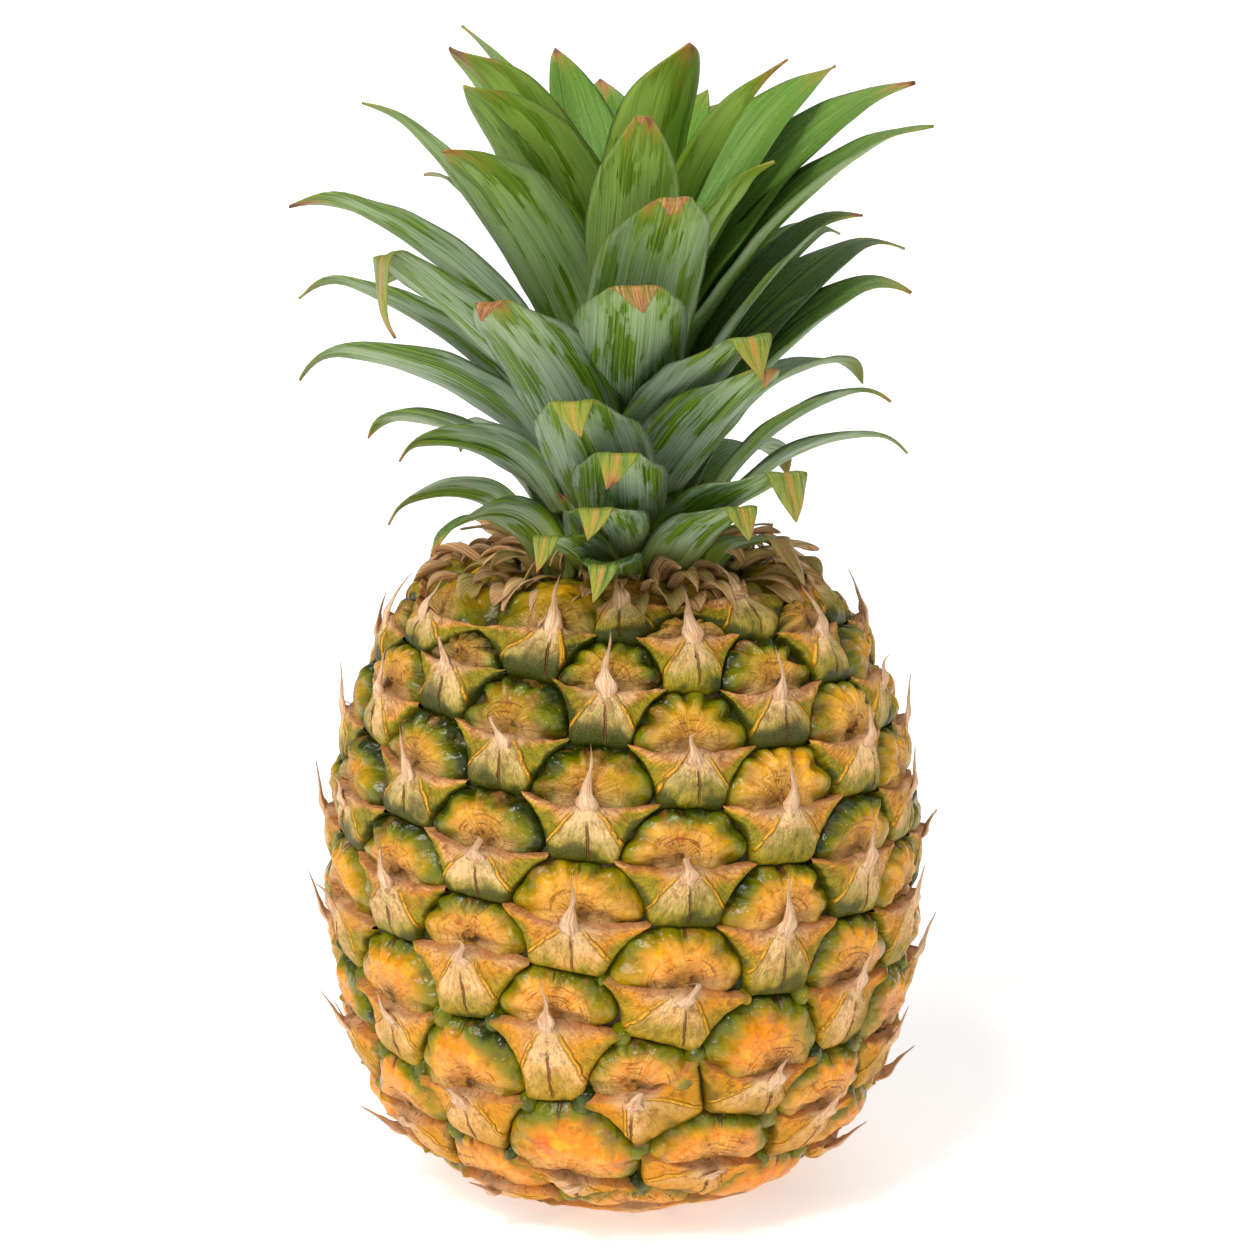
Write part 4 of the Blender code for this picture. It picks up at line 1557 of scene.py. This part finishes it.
def dry_finish(name):
    """Dried brown bracts of the frill and of the underside."""
    f = Finish(name)
    across, along, run = f.painted("place")
    luck, _, _ = f.painted("tone")
    _, _, wide = f.painted("rim")
    seed = luck * 37.0
    ribs = f.noise(f.vector(across * wide, run * 0.4, seed), 2.4, 4.0)
    colour = f.mix(ribs.ease(0.35, 0.65), (188, 124, 66), (254, 214, 154))
    colour = f.mix(luck.ease(0.55, 1.0) * 0.7, colour, (150, 146, 44))
    colour = f.mix(along.ease(0.6, 1.0) * 0.38, colour, (136, 74, 40))
    colour = f.mix(abs(across).ease(0.8, 1.0) * 0.4, colour, (236, 196, 152))
    f.set("Base Color", colour)
    f.set("Normal", f.bump(ribs, 0.0007, 0.9))
    f.set("Roughness", 0.58 + ribs * 0.2)
    return f.material


# ---------------------------------------------------------------- stage, light, camera


def build_stage():
    floor = bpy.data.meshes.new("floor")
    half = FLOOR_HALF_WIDTH
    corners = [(-half, -half, 0.0), (half, -half, 0.0), (half, half, 0.0), (-half, half, 0.0)]
    floor.from_pydata(corners, [], [(0, 1, 2, 3)])
    item = bpy.data.objects.new("floor", floor)
    bpy.context.collection.objects.link(item)
    f = Finish("floor_paper")
    grain = f.noise(f.coordinates(), 3.0, 2.0)
    f.set("Base Color", f.mix(grain, (226, 226, 225), (230, 230, 229)))
    f.set("Roughness", 0.9)
    f.set("Emission Color", (1.0, 1.0, 1.0, 1.0))
    f.set("Emission Strength", FLOOR_GLOW)
    floor.materials.append(f.material)


def add_sun(name, place, spread, power):
    """A soft sun shining from a place towards the object."""
    data = bpy.data.lights.new(name, "SUN")
    data.angle = math.radians(spread)
    data.energy = power
    item = bpy.data.objects.new(name, data)
    bpy.context.collection.objects.link(item)
    item.location = place
    item.rotation_euler = (-Vector(place)).to_track_quat("-Z", "Y").to_euler()


def build_light():
    """A pale room: the floor and what the camera sees behind it are the same white."""
    world = bpy.data.worlds.new("studio")
    world.use_nodes = True
    tree = world.node_tree
    room = tree.nodes["Background"]
    room.inputs["Color"].default_value = (1.0, 1.0, 1.0, 1.0)
    room.inputs["Strength"].default_value = ROOM_STRENGTH
    backdrop = tree.nodes.new("ShaderNodeBackground")
    backdrop.inputs["Color"].default_value = (1.0, 1.0, 1.0, 1.0)
    rays = tree.nodes.new("ShaderNodeLightPath")
    blend = tree.nodes.new("ShaderNodeMixShader")
    tree.links.new(rays.outputs["Is Camera Ray"], blend.inputs[0])
    tree.links.new(room.outputs[0], blend.inputs[1])
    tree.links.new(backdrop.outputs[0], blend.inputs[2])
    tree.links.new(blend.outputs[0], tree.nodes["World Output"].inputs["Surface"])
    bpy.context.scene.world = world
    for sun in SUNS:
        add_sun(*sun)


def build_camera():
    data = bpy.data.cameras.new("camera")
    data.lens = CAMERA_LENS
    data.sensor_width = 36.0
    data.clip_start = 0.01
    item = bpy.data.objects.new("camera", data)
    bpy.context.collection.objects.link(item)
    tilt = math.radians(CAMERA_TILT)
    towards = Vector((0.0, -math.cos(tilt), math.sin(tilt)))
    item.location = (Vector(CAMERA_TARGET) + towards * CAMERA_DISTANCE) * MM
    item.rotation_euler = (math.pi / 2.0 - tilt, 0.0, 0.0)
    bpy.context.scene.camera = item
    bpy.context.scene.view_settings.view_transform = "Standard"


def build_fruit():
    skin = Skin()
    body = Shell()
    build_body(body, skin)
    body.piece("fruit_body", body_finish(), "fruit")
    upper_caps = Shell()
    lower_caps = Shell()
    bracts = Shell()
    spikes = Shell()
    for eye in make_eyes(skin):
        build_cap(upper_caps if eye.height > FRUIT_HEIGHT / 2.0 else lower_caps, eye)
        build_bract(bracts, eye)
        if SPIKE_LOWEST < eye.height < KNOB_HIGHEST:
            build_knob(lower_caps, eye, wing_tip(eye.corners, -1), 2 * eye.seed)
            build_knob(lower_caps, eye, wing_tip(eye.corners, 1), 2 * eye.seed + 1)
        if SPIKE_LOWEST < eye.height < SPIKE_HIGHEST:
            build_spike(spikes, eye)
    material = cap_finish()
    upper_caps.piece("upper_eye_caps", material, "fruit")
    lower_caps.piece("lower_eye_caps", material, "fruit")
    bracts.piece("eye_bracts", bract_finish(), "fruit")
    spikes.piece("eye_spikes", spike_finish(), "fruit")


build_camera()
build_light()
build_stage()
build_fruit()
build_leaves()
build_collar()
build_heart()
build_stalk()
build_base()
